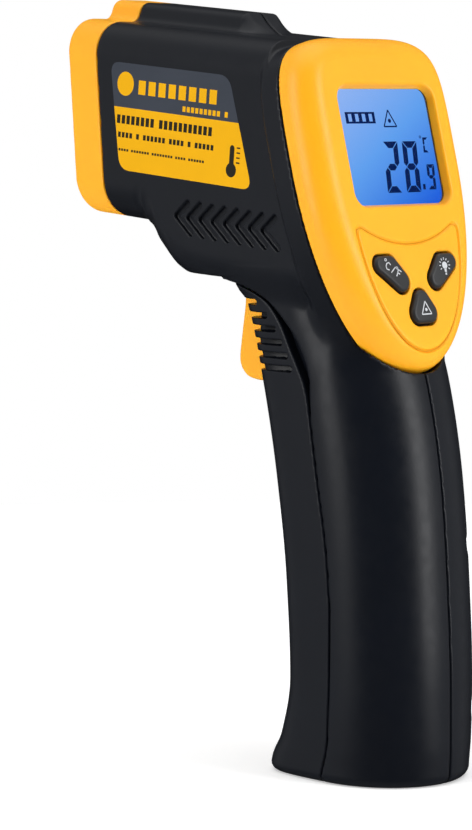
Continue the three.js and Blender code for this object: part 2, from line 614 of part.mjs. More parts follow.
const buttonOfSwitch = new THREE.CylinderGeometry(1.7, 1.7, 1.4, 16).translate(0, 16.2, 93.5);
const switchCan = solid(box([-3, 12.3, 90.5], [3, 15.7, 96.5]));
piece('trigger_switch', switchCan.add(solid(buttonOfSwitch)), BLACK_PART);

const smallBoard = solid(box([-5.2, 10.8, 86], [5.2, 12, 104]))
  .add(solid(box([-14.5, 10.8, 101], [14.5, 12, 104])));
piece('switch_board', smallBoard, GREEN_BOARD);

// ---------------------------------------------------------------- battery, snap and leads
const { width, thick, tall, y: batteryY, z: batteryZ } = BATTERY;
const batteryTop = batteryZ + tall - 3; // the standard height counts the terminals
const TERMINALS = [{ x: -6.35, r: 3.1 }, { x: 6.35, r: 3.4 }];

const can = new THREE.Shape();
const corner = 2.4;
const [halfW, halfT] = [width / 2 - corner, thick / 2 - corner];
can.absarc(halfW, halfT, corner, 0, Math.PI / 2);
can.absarc(-halfW, halfT, corner, Math.PI / 2, Math.PI);
can.absarc(-halfW, -halfT, corner, Math.PI, 1.5 * Math.PI);
can.absarc(halfW, -halfT, corner, 1.5 * Math.PI, 2 * Math.PI);
const block = new THREE.ExtrudeGeometry(can, { depth: tall - 3, bevelEnabled: false, curveSegments: 4 });
let battery = solid(block.translate(0, batteryY, batteryZ));
let snap = solid(box([-13, batteryY - 6.2, batteryTop + 0.4], [13, batteryY + 6.2, batteryTop + 5]));
for (const { x, r } of TERMINALS) {
  const stud = new THREE.CylinderGeometry(r, r, 4, 20).rotateX(Math.PI / 2).translate(x, batteryY, batteryTop + 1);
  const cup = new THREE.CylinderGeometry(r + GAP, r + GAP, 8, 20).rotateX(Math.PI / 2);
  battery = battery.add(solid(stud));
  snap = snap.subtract(solid(cup.translate(x, batteryY, batteryTop - 0.6)));
}
piece('battery', battery, BATTERY_SKIN);
piece('battery_snap', snap, BLACK_PART);

const LEAD = { radius: 0.7, from: batteryTop + 5.3 };

for (const [name, x, material] of [['lead_red', 4, RED_WIRE], ['lead_black', -4, BLACK_PART]]) {
  const route = new THREE.CatmullRomCurve3([
    [0.6 * x, batteryY, LEAD.from], [0.7 * x, batteryY + 0.4, LEAD.from + 3], [0.9 * x, 0.6, 68],
    [x, 1.4, 78], [x, 1, 87], [x, -0.2, 90.6], [x, -1.6, 91.8],
  ].map((point) => new THREE.Vector3(...point)));
  const section = new THREE.Shape(new THREE.Path().absarc(0, 0, LEAD.radius, 0, 2 * Math.PI).getPoints(4));
  piece(name, new THREE.ExtrudeGeometry(section, { steps: 20, extrudePath: route }), material);
}

export default thermometer;
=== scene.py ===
# The looks of a pistol-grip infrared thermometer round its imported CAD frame.
#
# Lengths are in millimetres in the row frame unless a name says otherwise, and become metres when a mesh
# is made. Each moulded piece is a field: a function of x, y, z that is negative inside the piece and about
# the distance to its skin outside. Pieces are meshed from their fields, so fillets and rims are real shapes.

import json
import math

import bpy
import numpy as np
from mathutils import Matrix, Vector


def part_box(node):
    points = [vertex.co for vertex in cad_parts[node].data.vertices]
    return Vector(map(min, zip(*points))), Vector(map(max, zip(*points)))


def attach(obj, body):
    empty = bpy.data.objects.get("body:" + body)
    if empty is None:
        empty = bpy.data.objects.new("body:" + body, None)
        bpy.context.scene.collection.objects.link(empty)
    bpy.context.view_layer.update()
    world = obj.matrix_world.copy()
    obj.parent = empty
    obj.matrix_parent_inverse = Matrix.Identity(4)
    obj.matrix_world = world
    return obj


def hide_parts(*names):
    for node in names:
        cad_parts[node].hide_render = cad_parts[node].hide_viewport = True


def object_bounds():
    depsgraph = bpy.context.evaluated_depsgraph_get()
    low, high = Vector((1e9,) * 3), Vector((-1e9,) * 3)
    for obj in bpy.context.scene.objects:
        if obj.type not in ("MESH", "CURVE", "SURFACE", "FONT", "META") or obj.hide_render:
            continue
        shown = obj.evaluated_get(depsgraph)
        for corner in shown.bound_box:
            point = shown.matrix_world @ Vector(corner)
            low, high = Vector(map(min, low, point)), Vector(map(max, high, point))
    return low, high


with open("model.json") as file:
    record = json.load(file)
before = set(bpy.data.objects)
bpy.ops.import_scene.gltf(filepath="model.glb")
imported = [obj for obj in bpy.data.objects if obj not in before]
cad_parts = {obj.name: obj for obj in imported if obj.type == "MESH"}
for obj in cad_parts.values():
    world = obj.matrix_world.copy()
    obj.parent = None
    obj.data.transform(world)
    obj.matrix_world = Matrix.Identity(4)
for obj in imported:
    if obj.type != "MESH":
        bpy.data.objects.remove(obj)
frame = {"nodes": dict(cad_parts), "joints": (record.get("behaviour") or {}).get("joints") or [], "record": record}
cad_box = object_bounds()

MM = 0.001
nodes = frame["nodes"]

# --- driving dimensions, as in the frame
GAP = 0.3
WALL = 1.9
SPLIT = 0.15
MIDDLE = 25.2
SOLE_DROP = 3.0
MUZZLE_LIFT = math.radians(5.2)
FACE = {"lean": math.radians(19.7), "y": 10.4, "z": 135.3, "depth": 7.4}
NOSE = {"lean": math.radians(9.6), "y": 73.6, "z": 133.4, "length": 9.4}
BARREL = {"half_width": 19.2, "top": 143.5, "round": 7.5}
RIDGE = {"half_width": 6.0, "base": 138, "top": 147.6, "round": 2.8, "fillet": 2.6, "end": 45.4, "tail": 6.5,
         "fall": 0.9}
COLLAR = {"front": 13.8, "rear": 5, "round": 2.0, "barrel_starts": 12, "fillet": 1.0}
SENSOR_Z = 123.2
LASER_Z = 142.4
EGG = {"half_width": 22.2, "middle": -15.2, "up": 26.7, "down": 42.2, "up_power": 4.6, "down_power": 2.05}
GRIP = {"half_width": 17.2, "front_power": 4.5, "rear_power": 2.0, "top": 101.0, "fillet": 2.6}
SOLE = {"wall": WALL + 0.5, "round": 2.0}

# Side-view curves, each a list of where it passes. The barrel's belly is height against length in the barrel
# frame; the grip's front and rear and the door's seam are y against height in the standing frame.
BELLY = [(-20, 92), (15, 91.9), (30, 92), (38, 92.1), (44, 92.6), (49, 94), (54, 97.5), (58.2, 101.6),
         (61, 103), (95, 102.8)]
GRIP_FRONT = [(0, 17.3), (3, 16.6), (8, 13.9), (20, 11.3), (40, 12.4), (60, 15.1), (80, 19.2), (97, 24.2),
              (101, 27.5)]
GRIP_REAR = [(0, -21.1), (8, -21.4), (20, -21.3), (40, -20.3), (60, -18.5), (80, -14.6), (97, -7.2),
             (101, -5)]
SEAM = [(-1, -0.9), (3, -2.2), (8, -3.4), (20, -3.9), (34, -4), (45, -3.2), (63, -0.2), (74, 1.5), (79.5, 2),
        (83.6, 3.2), (88.6, 6), (93.9, 10.8), (97, 15.5), (100.2, 31), (101.5, 90)]

# --- frames
# The standing frame holds the grip. The barrel frame is pitched up by MUZZLE_LIFT. The face frame lies on the
# display's face, y up along it and z out of it, and the nose frame lies on the seam behind the nose cap.
STAND = Matrix.Translation((0, -MIDDLE, 0))
BARREL_PLACE = STAND @ Matrix.Translation((0, 0, SOLE_DROP)) @ Matrix.Rotation(MUZZLE_LIFT, 4, "X")


def on_barrel(spot):
    turned = Matrix.Rotation(math.pi / 2 - spot["lean"], 4, "X")
    return BARREL_PLACE @ Matrix.Translation((0, spot["y"], spot["z"])) @ turned


FACE_PLACE = on_barrel(FACE)
NOSE_PLACE = on_barrel(NOSE)
ROW_PLACE = Matrix.Identity(4)


def seen_from(place, y, z):
    """Row-frame y and z in another frame. Every frame here is turned about X only."""
    back = place.inverted()
    return back[1][1] * y + back[1][2] * z + back[1][3], back[2][1] * y + back[2][2] * z + back[2][3]


# --- field arithmetic
def meet(a, b, r=0.0):
    """Where both fields are, its edge rounded by r."""
    if r == 0:
        return np.maximum(a, b)
    return np.minimum(np.maximum(a, b), -r) + np.hypot(np.maximum(a + r, 0), np.maximum(b + r, 0))


def join(a, b, r=0.0):
    """Where either field is, with a fillet of r between them."""
    return -meet(-a, -b, r)


def cut(a, b, r=0.0):
    """The first field without the second, its edge rounded by r."""
    return meet(a, -b, r)


def block(x, y, z, low, high, r=0.0):
    """A box between two corners."""
    sides = [np.abs(value - (a + b) / 2) - (b - a) / 2 for value, a, b in zip((x, y, z), low, high)]
    return meet(meet(sides[0], sides[1], r), sides[2], r)


def centred(x, y, z, half_width, rear, front, foot, top, r=0.0):
    """A block even about the middle plane, placed in the standing frame."""
    return block(x, y, z, (-half_width, rear - MIDDLE, foot), (half_width, front - MIDDLE, top), r)


def stroke(u, v, a, b):
    """The distance in a plane from the straight line between a and b."""
    du, dv = b[0] - a[0], b[1] - a[1]
    share = np.clip(((u - a[0]) * du + (v - a[1]) * dv) / (du * du + dv * dv), 0, 1)
    return np.hypot(u - a[0] - share * du, v - a[1] - share * dv)


def oval(x, u, half_width, ahead, behind, ahead_power, behind_power):
    """About the distance from an outline whose two halves are different superellipses."""
    reach = np.where(u > 0, ahead, behind)
    power = np.where(u > 0, ahead_power, behind_power)
    a = np.abs(x) / half_width + 1e-6
    b = np.abs(u) / reach + 1e-6
    size = (a ** power + b ** power) ** (1 / power)
    slope = size ** (1 - power) * np.hypot(a ** (power - 1) / half_width, b ** (power - 1) / reach)
    return (size - 1) / slope


class Curve:
    """A smooth curve through points that doesn't overshoot them: value against place, with its slope."""

    def __init__(self, points):
        self.at, self.value = (np.array(column, float) for column in zip(*points))
        step = np.diff(self.at)
        rise = np.diff(self.value) / step
        self.slope = np.concatenate([rise[:1], np.zeros(len(rise) - 1), rise[-1:]])
        for i in range(1, len(rise)):
            if rise[i - 1] * rise[i] > 0:
                w1, w2 = 2 * step[i] + step[i - 1], step[i] + 2 * step[i - 1]
                self.slope[i] = (w1 + w2) / (w1 / rise[i - 1] + w2 / rise[i])

    def __call__(self, place):
        i = np.clip(np.searchsorted(self.at, place) - 1, 0, len(self.at) - 2)
        step = self.at[i + 1] - self.at[i]
        t = np.clip((place - self.at[i]) / step, 0, 1)
        rest = 1 - t
        value = (self.value[i] * (1 + 2 * t) * rest * rest + self.slope[i] * step * t * rest * rest
                 + self.value[i + 1] * t * t * (3 - 2 * t) - self.slope[i + 1] * step * t * t * rest)
        chord = (self.value[i + 1] - self.value[i]) / step
        slope = (6 * t * rest * chord + self.slope[i] * rest * (1 - 3 * t)
                 + self.slope[i + 1] * t * (3 * t - 2))
        return value, slope


# --- meshing a field
# How far either side a slope is taken, in cells, and how strongly a vertex keeps to its crossings' middle.
PLACE_REACH = 0.02
SHADE_REACH = 0.4
HOLD = 0.03


def gradient(field, points, reach):
    """The field's slope at some points, as unit vectors."""
    slope = np.empty_like(points)
    for axis in range(3):
        ahead, behind = points.copy(), points.copy()
        ahead[:, axis] += reach
        behind[:, axis] -= reach
        slope[:, axis] = field(*ahead.T) - field(*behind.T)
    return slope / np.maximum(np.linalg.norm(slope, axis=1), 1e-9)[:, None]


def ticks(low, high, step, zones):
    """Places along an axis, a step apart and closer in zones, each a start, an end and a step."""
    places = [low - step]
    while places[-1] < high + step:
        near = [fine for start, end, fine in zones if start - step < places[-1] < end]
        places.append(places[-1] + min([step, *near]))
    return np.array(places)


def contour(field, low, high, step, zones):
    """Dual contouring: one vertex in each cell that the surface crosses, set where the planes through the
    cell's crossings meet, so that sharp edges stay sharp."""
    axes = [ticks(low[i], high[i], step, zones.get("xyz"[i], ())) for i in range(3)]
    counts = [len(axis) for axis in axes]
    values = np.array(np.broadcast_to(
        field(axes[0][:, None, None], axes[1][None, :, None], axes[2][None, None, :]), counts), np.float32)
    for axis in range(3):
        ends = [slice(None)] * 3
        ends[axis] = [0, -1]
        values[tuple(ends)] = step
    points, cells, outward = [], [], []
    for axis in range(3):
        before, after = [slice(None)] * 3, [slice(None)] * 3
        before[axis], after[axis] = slice(0, -1), slice(1, None)
        crossed = np.argwhere((values[tuple(before)] < 0) != (values[tuple(after)] < 0))
        other = crossed.copy()
        other[:, axis] += 1
        v0, v1 = values[tuple(crossed.T)], values[tuple(other.T)]
        place = np.stack([axes[i][crossed[:, i]] for i in range(3)], axis=1)
        place[:, axis] += (axes[axis][other[:, axis]] - place[:, axis]) * v0 / (v0 - v1)
        b, c = (axis + 1) % 3, (axis + 2) % 3
        around = np.repeat(crossed[:, None, :], 4, axis=1)
        around[:, (0, 3), b] -= 1
        around[:, (0, 1), c] -= 1
        points.append(place)
        cells.append(around @ np.array([counts[1] * counts[2], counts[2], 1]))
        outward.append(v0 < 0)
    points, cells, outward = np.concatenate(points), np.concatenate(cells), np.concatenate(outward)
    normals = gradient(field, points, PLACE_REACH * step)
    used, corner = np.unique(cells, return_inverse=True)
    corner = corner.reshape(cells.shape)
    total = len(used)

    def gathered(weight):
        return sum(np.bincount(corner[:, k], weight, minlength=total) for k in range(4))

    number = gathered(np.ones(len(points)))
    mean = np.stack([gathered(points[:, i]) for i in range(3)], axis=1) / number[:, None]
    reach = np.einsum("ij,ij->i", normals, points)
    matrix = np.empty((total, 3, 3))
    for i in range(3):
        for j in range(i, 3):
            matrix[:, i, j] = matrix[:, j, i] = gathered(normals[:, i] * normals[:, j])
    target = np.stack([gathered(normals[:, i] * reach) for i in range(3)], axis=1)
    pull = HOLD * number
    matrix += pull[:, None, None] * np.eye(3)
    spots = np.linalg.solve(matrix, (target + pull[:, None] * mean)[..., None])[..., 0]
    index = np.unravel_index(used, counts)
    for i in range(3):
        spots[:, i] = np.clip(spots[:, i], axes[i][index[i]], axes[i][index[i] + 1])
    corner[~outward] = corner[~outward][:, ::-1]
    return spots, corner


def mesh_of(name, spots, faces):
    """A mesh from points in millimetres and an array of faces with equally many corners."""
    mesh = bpy.data.meshes.new(name)
    faces = np.asarray(faces, np.int32)
    count, sides = faces.shape
    mesh.vertices.add(len(spots))
    mesh.vertices.foreach_set("co", (np.asarray(spots) * MM).astype(np.float32).ravel())
    mesh.loops.add(count * sides)
    mesh.loops.foreach_set("vertex_index", faces.ravel())
    mesh.polygons.add(count)
    mesh.polygons.foreach_set("loop_start", np.arange(0, count * sides, sides, dtype=np.int32))
    mesh.update(calc_edges=True)
    mesh.validate()
    return mesh


def linked(name, data):
    """A new object in the scene."""
    made = bpy.data.objects.new(name, data)
    bpy.context.scene.collection.objects.link(made)
    return made


def placed(name, mesh, body, replaced):
    """Shows a mesh as a piece that rides a body and takes the place of some CAD nodes."""
    piece = linked(name, mesh)
    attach(piece, body)
    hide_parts(*replaced)


def moulding(name, field, low, high, step, body, slot, replaced, place=ROW_PLACE, **zones):
    """A piece meshed from its field in the frame of a place, shaded with the field's own slope."""
    spots, faces = contour(field, low, high, step, zones)
    slopes = gradient(field, spots, SHADE_REACH * step)
    turn, shift = np.array(place.to_3x3()), np.array(place.translation)
    mesh = mesh_of(name, spots @ turn.T + shift, faces)
    mesh.shade_smooth()
    mesh.normals_split_custom_set_from_vertices(slopes @ turn.T)
    mesh.materials.append(SLOT_LOOKS[slot])
    placed(name, mesh, body, replaced)


def room(name, margin=1.0):
    """The box round a CAD node, in millimetres, a little enlarged."""
    low, high = (np.array(corner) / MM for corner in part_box(name))
    return low - margin, high + margin


# --- materials
def shader(name, colour, roughness, metallic=0.0, **more):
    """A new Principled material and its node tree."""
    material = bpy.data.materials.new(name)
    material.use_nodes = True
    tree = material.node_tree
    principled = tree.nodes["Principled BSDF"]
    principled.inputs["Base Color"].default_value = (*colour, 1)
    principled.inputs["Roughness"].default_value = roughness
    principled.inputs["Metallic"].default_value = metallic
    for socket, value in more.items():
        principled.inputs[socket.replace("_", " ")].default_value = value
    return material, tree, principled


def node(tree, kind, inputs=(), **settings):
    """A new shader node. Each of its inputs that is named is given a value or another node's output."""
    made = tree.nodes.new("ShaderNode" + kind)
    for name, value in settings.items():
        setattr(made, name, value)
    for socket, value in dict(inputs).items():
        if isinstance(value, bpy.types.NodeSocket):
            tree.links.new(value, made.inputs[socket])
        else:
            made.inputs[socket].default_value = value
    return made


def own_space(tree):
    """The object's own coordinates."""
    return node(tree, "TexCoord").outputs["Object"]


def noise(tree, scale, detail=2.0, stretch=(1, 1, 1)):
    """Noise in the object's own space, its scale in features per millimetre."""
    sizes = [scale / MM * value for value in stretch]
    mapping = node(tree, "Mapping", {"Vector": own_space(tree), "Scale": sizes})
    return node(tree, "TexNoise", {"Vector": mapping.outputs[0], "Scale": 1, "Detail": detail}).outputs["Fac"]


def rescaled(tree, value, low, high, to_low=0.0, to_high=1.0):
    """A value with the range from low to high turned into another."""
    return node(tree, "MapRange", {"Value": value, "From Min": low, "From Max": high, "To Min": to_low,
                                   "To Max": to_high}).outputs["Result"]


def spread(tree, source, low, high):
    """The noise's middle range turned into low to high."""
    return rescaled(tree, source, 0.3, 0.7, low, high)


def ramp(tree, factor, start, end, *between):
    """A ramp through some colours, each given with its place."""
    made = node(tree, "ValToRGB", {"Fac": factor})
    stops = made.color_ramp.elements
    for i, (place, colour) in enumerate((start, end)):
        stops[i].position, stops[i].color = place, (*colour, 1)
    for place, colour in between:
        stops.new(place).color = (*colour, 1)
    return made


def tint(tree, principled, factor, dark, light):
    """Colours the base between two shades by a factor."""
    mix = node(tree, "Mix", {"Factor": factor, "A": (*dark, 1), "B": (*light, 1)}, data_type="RGBA")
    tree.links.new(mix.outputs["Result"], principled.inputs["Base Color"])


def roughen(tree, principled, height, depth):
    """Bumps the surface by a height, depth in millimetres."""
    bump = node(tree, "Bump", {"Height": height, "Distance": depth * MM})
    tree.links.new(bump.outputs["Normal"], principled.inputs["Normal"])


def moulded(name, colour, roughness, depth=0.012, variety=0.06, shine=0.5, **more):
    """Moulded plastic: a fine spark-eroded grain, faint flow marks in its colour and uneven gloss."""
    material, tree, principled = shader(name, colour, roughness, Specular_IOR_Level=shine, **more)
    flow = spread(tree, noise(tree, 0.05), 0.0, 1.0)
    dark = [share * (1 - variety) for share in colour]
    light = [min(share * (1 + variety), 1) for share in colour]
    tint(tree, principled, flow, dark, light)
    gloss = spread(tree, noise(tree, 0.4), roughness - 0.03, roughness + 0.04)
    tree.links.new(gloss, principled.inputs["Roughness"])
    roughen(tree, principled, noise(tree, 3.0, 3.0), depth)
    return material


def turned_metal(name, colour, roughness):
    """Bright metal with fine lathe marks round X."""
    material, tree, principled = shader(name, colour, roughness, 1.0)
    marks = noise(tree, 6.0, 2.0, (1, 0.1, 0.1))
    tree.links.new(spread(tree, marks, roughness - 0.05, roughness + 0.1), principled.inputs["Roughness"])
    roughen(tree, principled, marks, 0.01)
    return material


def board_green(name):
    """Solder resist over copper tracks."""
    material, tree, principled = shader(name, (0.01, 0.12, 0.04), 0.35)
    cells = node(tree, "TexBrick", {"Vector": own_space(tree), "Scale": 0.45 / MM, "Mortar Size": 0.04,
                                    "Color1": (0.01, 0.13, 0.045, 1), "Color2": (0.008, 0.1, 0.035, 1),
                                    "Mortar": (0.03, 0.22, 0.08, 1)})
    tree.links.new(cells.outputs["Color"], principled.inputs["Base Color"])
    roughen(tree, principled, cells.outputs["Fac"], 0.03)
    return material


def backlit(name):
    """The display's blue: bright where the lamp is, at the top left, and deeper away from it."""
    material, tree, principled = shader(name, (0.002, 0.01, 0.06), 0.2, Specular_IOR_Level=0.02)
    low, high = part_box("lcd_panel")
    run = Vector((0.55 / (high.x - low.x), 0, -0.8 / (high.z - low.z)))
    along = node(tree, "VectorMath", {0: own_space(tree), 1: run}, operation="DOT_PRODUCT")
    share = rescaled(tree, along.outputs["Value"], run.dot(Vector((low.x, 0, high.z))),
                     run.dot(Vector((high.x, 0, low.z))))
    colours = ramp(tree, share, (0.0, (0.34, 0.53, 0.97)), (0.95, (0.0, 0.075, 0.74)),
                   (0.45, (0.13, 0.39, 0.92)), (0.75, (0.035, 0.2, 0.8)))
    tree.links.new(colours.outputs["Color"], principled.inputs["Emission Color"])
    principled.inputs["Emission Strength"].default_value = 0.95
    return material


def foam_grey(name):
    """Open foam: round cells."""
    material, tree, principled = shader(name, (0.035, 0.035, 0.037), 0.95)
    cells = node(tree, "TexVoronoi", {"Vector": own_space(tree), "Scale": 1.6 / MM})
    tint(tree, principled, cells.outputs["Distance"], (0.015, 0.015, 0.016), (0.07, 0.07, 0.075))
    roughen(tree, principled, cells.outputs["Distance"], 0.3)
    return material


# Darker yellow for the strips laid in the key panel's groove: painted shade in the groove.
PAINTED_GROOVE_SHADE = moulded("painted_groove_shade", (0.66, 0.28, 0.01), 0.5, depth=0.003, shine=0.1)
ICON_GREY = moulded("icon_print", (0.55, 0.57, 0.6), 0.5, depth=0.003)
LABEL_SLATE = moulded("label_slate", (0.04, 0.047, 0.062), 0.45, depth=0.003, shine=0.12)
LABEL_INK = moulded("label_ink", (0.02, 0.017, 0.01), 0.5, depth=0.003, shine=0.08)
SEGMENT_INK = moulded("display_segments", (0.001, 0.012, 0.085), 0.3, depth=0.001, shine=0.01)

SLOT_LOOKS = {
    "charcoal": moulded("charcoal_plastic", (0.0042, 0.0055, 0.009), 0.32, depth=0.008, shine=0.19),
    "yellow": moulded("yellow_plastic", (0.99, 0.425, 0.012), 0.36, depth=0.005, variety=0.025, shine=0.3,
                      Subsurface_Weight=0.2, Subsurface_Scale=0.0015),
    "key_rubber": moulded("key_rubber", (0.02, 0.021, 0.023), 0.42, depth=0.006, shine=0.35),
    "sticker": moulded("label_yellow", (0.8, 0.4, 0.0), 0.45, depth=0.003, variety=0.03, shine=0.12),
    "lcd": backlit("backlit_display"),
    "clear": shader("clear_window", (0.01, 0.01, 0.01), 0.04, Alpha=0.05, Specular_IOR_Level=0.2)[0],
    "black_part": moulded("black_part", (0.012, 0.012, 0.014), 0.5),
    "steel": turned_metal("turned_steel", (0.55, 0.56, 0.58), 0.3),
    "milky": moulded("milky_plastic", (0.8, 0.84, 0.88), 0.35),
    "lens": moulded("lens_plastic", (0.02, 0.025, 0.032), 0.12, depth=0.002),
    "brass": turned_metal("turned_brass", (0.6, 0.4, 0.12), 0.3),
    "battery_jacket": moulded("battery_jacket", (0.25, 0.27, 0.29), 0.3, Metallic=0.6),
    "red_wire": moulded("red_insulation", (0.45, 0.02, 0.015), 0.45),
    "circuit_board": board_green("circuit_board"),
    "foam": foam_grey("foam"),
}
for part in frame["record"]["subparts"]:
    shown = nodes[part["node"]]
    shown.data.materials.clear()
    shown.data.materials.append(SLOT_LOOKS[part["material_slot"]])

# --- the skins that the mouldings share
belly, grip_front, grip_rear, seam = Curve(BELLY), Curve(GRIP_FRONT), Curve(GRIP_REAR), Curve(SEAM)


def barrel_skin(x, y, z):
    """The barrel with the ridge along its top, open ahead."""
    along, up = seen_from(BARREL_PLACE, y, z)
    bottom, slope = belly(along)
    side = meet(up - BARREL["top"], (bottom - up) / np.hypot(1, slope))
    body = meet(side, np.abs(x) - BARREL["half_width"], BARREL["round"])
    behind = np.maximum(RIDGE["end"] - along, 0)
    tail = np.hypot(x, behind * RIDGE["half_width"] / RIDGE["tail"]) - RIDGE["half_width"]
    crown = meet(up - RIDGE["top"] + RIDGE["fall"] * behind, RIDGE["base"] - up)
    return join(body, meet(crown, tail, RIDGE["round"]), RIDGE["fillet"])


def face_depth(x, y, z):
    """The distance from the egg outline, and the depth below the display's face."""
    up, out = seen_from(FACE_PLACE, y, z)
    return egg(x, up), -out


def egg(x, up):
    return oval(x, up - EGG["middle"], EGG["half_width"], EGG["up"], EGG["down"], EGG["up_power"],
                EGG["down_power"])


def grip_section(x, y, z):
    front, rear = grip_front(z)[0], grip_rear(z)[0]
    middle = (front + rear) / 2
    return oval(x, y + MIDDLE - middle, GRIP["half_width"], front - middle, middle - rear,
                GRIP["front_power"], GRIP["rear_power"])


def body_skin(x, y, z, inset=0.0):
    """The whole handle and barrel, or their inside, one wall in."""
    outline, depth = face_depth(x, y, z)
    barrel = meet(barrel_skin(x, y, z) + inset, COLLAR["barrel_starts"] - depth)
    ends = meet(depth - COLLAR["front"] + inset, COLLAR["rear"] - depth)
    collar = meet(outline + inset, ends, COLLAR["round"])
    floor = SOLE["wall"] if inset else 0
    grip = meet(meet(grip_section(x, y, z) + inset, floor - z, SOLE["round"]), z - GRIP["top"] - inset)
    return join(join(barrel, collar, COLLAR["fillet"]), grip, GRIP["fillet"])


def ahead_of_seam(y, z):
    """How far ahead of the door's parting line a point is."""
    line, slope = seam(z)
    return (y + MIDDLE - line) / np.hypot(1, slope)


# The parting line opens into a dark wedge behind the finger ribs, mostly out of the door's edge.
WEDGE = {"z": 85.5, "spread": 7, "from_door": 1.8, "from_shells": 0.3}


def wedge(z):
    """How open the wedge is at a height, 1 at its widest."""
    return np.exp(-((z - WEDGE["z"]) / WEDGE["spread"]) ** 2)


def nose_ahead(y, z):
    """How far ahead of the nose cap's seam a point is."""
    return -seen_from(NOSE_PLACE, y, z)[1]


# --- the two half shells
CHEVRON = {"count": 8, "first": 47.0, "pitch": 3.56, "up": 105.8, "half_width": 0.7, "depth": 0.8}
THUMB = {"y": 2.4, "z": 86.0, "long": 4.3, "tall": 8.0, "depth": 0.25, "from_x": 9}
LIP = {"outer": 0.2, "inner": 0.9, "ahead": 1, "reach": 2.8, "foot": 6, "top": 95}
HINGE = {"ear": 2.3, "bore": 1.15, "bore_end": 14, "shell_ear": (5.5, 11.5), "door_ear": (11.9, 15)}
TRIGGER_BOSS = {"radius": 3, "from_x": 5.8}
# Blocks, each a half width, rear, front, foot and top: the tongue that the shells reach under the door in two
# steps, and the trigger's slot.
TONGUE = [(13.9, -6, 4.4, 0, 2.3), (11.5, 0, 8, 0, 2.3)]
TRIGGER_SLOT = (5.8, 13, 34.5, 90, 104)
SCREWS = ["screw_grip_low", "screw_grip_high", "screw_neck", "screw_barrel_rear", "screw_barrel_front"]
SCREW = {"head": 2.2, "head_height": 1.8, "well": 2.2, "boss": 2.8, "hole": 1.35, "thread": 1.0, "pitch": 0.8}
pivot, hinge = (Vector(joint["pos_m"]) / MM for joint in frame["joints"][:2])
screw_at = {name: (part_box(name)[0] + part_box(name)[1]) / 2 / MM for name in SCREWS}
screw_end = {name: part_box(name)[1].x / MM for name in SCREWS}


def chevrons(y, z):
    """The distance from the arrow strokes along the barrel's side."""
    along, up = seen_from(BARREL_PLACE, y, z)
    nearest = np.inf
    for i in range(CHEVRON["count"]):
        apex = (CHEVRON["first"] - i * CHEVRON["pitch"], CHEVRON["up"])
        for arm in ((-2.9, 2.8), (-4.3, -3.1)):
            tip = (apex[0] + arm[0], apex[1] + arm[1])
            nearest = np.minimum(nearest, stroke(along, up, apex, tip))
    return nearest - CHEVRON["half_width"]


def lip(x, y, z, ahead):
    """A thin lip round the inside of the grip that reaches ahead behind the door's edge."""
    section = grip_section(x, y, z)
    band = meet(section + WALL + LIP["outer"], -section - WALL - LIP["inner"])
    band = meet(band, np.abs(ahead - LIP["ahead"]) - LIP["reach"])
    return meet(band, np.maximum(LIP["foot"] - z, z - LIP["top"]))


def from_axis(spot, y, z):
    """The distance from an axis along X."""
    return np.hypot(y - spot.y, z - spot.z)


def ears(x, y, z, inner, outer):
    """Knuckles round the door's pin, on both sides."""
    return meet(from_axis(hinge, y, z) - HINGE["ear"], meet(inner - np.abs(x), np.abs(x) - outer))


def inside_space(x, y, z):
    """The hollow of the shells, round their screw and trigger bosses."""
    hollow = body_skin(x, y, z, WALL)
    for spot in screw_at.values():
        hollow = np.maximum(hollow, SCREW["boss"] - from_axis(spot, y, z))
    boss = meet(from_axis(pivot, y, z) - TRIGGER_BOSS["radius"], TRIGGER_BOSS["from_x"] - np.abs(x))
    return np.maximum(hollow, -boss)


def shells(x, y, z):
    """Both half shells as one, before they are parted."""
    outline, depth = face_depth(x, y, z)
    skin = body_skin(x, y, z)
    thumb = ((y + MIDDLE - THUMB["y"]) / THUMB["long"]) ** 2 + ((z - THUMB["z"]) / THUMB["tall"]) ** 2
    skin = skin + THUMB["depth"] * np.exp(-thumb * thumb) * (np.abs(x) > THUMB["from_x"])
    side = BARREL["half_width"] - CHEVRON["depth"] - np.abs(x)
    skin = cut(skin, np.maximum(chevrons(y, z), side), 0.22)
    skin = cut(skin, inside_space(x, y, z))
    ahead = ahead_of_seam(y, z)
    wide = GAP + WEDGE["from_shells"] * wedge(z)
    skin = np.minimum(meet(skin, ahead + wide, 0.3), lip(x, y, z, ahead))
    tongue = join(*[centred(x, y, z, *step, 0.2) for step in TONGUE])
    skin = join(skin, join(tongue, ears(x, y, z, *HINGE["shell_ear"])))
    skin = cut(skin, from_axis(hinge, y, z) - HINGE["bore"])
    skin = cut(skin, meet(outline - GAP, depth - FACE["depth"] - GAP), 0.25)
    skin = cut(skin, centred(x, y, z, *TRIGGER_SLOT), 0.3)
    return meet(skin, nose_ahead(y, z) + GAP / 2, 0.25)


def left_shell(x, y, z):
    return meet(shells(x, y, z), x + SPLIT, 0.2)


def right_shell(x, y, z):
    """The right shell has the screws' wells."""
    shell = meet(shells(x, y, z), SPLIT - x, 0.2)
    for name, spot in screw_at.items():
        across = from_axis(spot, y, z)
        well = meet(across - SCREW["head"] - GAP, screw_end[name] - SCREW["well"] - x)
        shell = cut(cut(shell, well, 0.4), across - SCREW["hole"])
    return shell


# --- the battery door
RIB = {"count": 6, "top": 95.7, "pitch": 2.6, "half_height": 0.6, "from_seam": 4.1, "open_to": 60}
# The slots are deeper by their rear ends, where the door's wall is thicker too.
SLOT = {"depth": 0.85, "deeper": 2.1, "fade": 6.5, "fade_from": 1.6, "wall": 2.3, "wall_from": 78,
        "wall_run": 3}
# The door's top edge, and how far it may stand out below the barrel.
DOOR_TOP = {"z": 99.4, "out": 0.8}
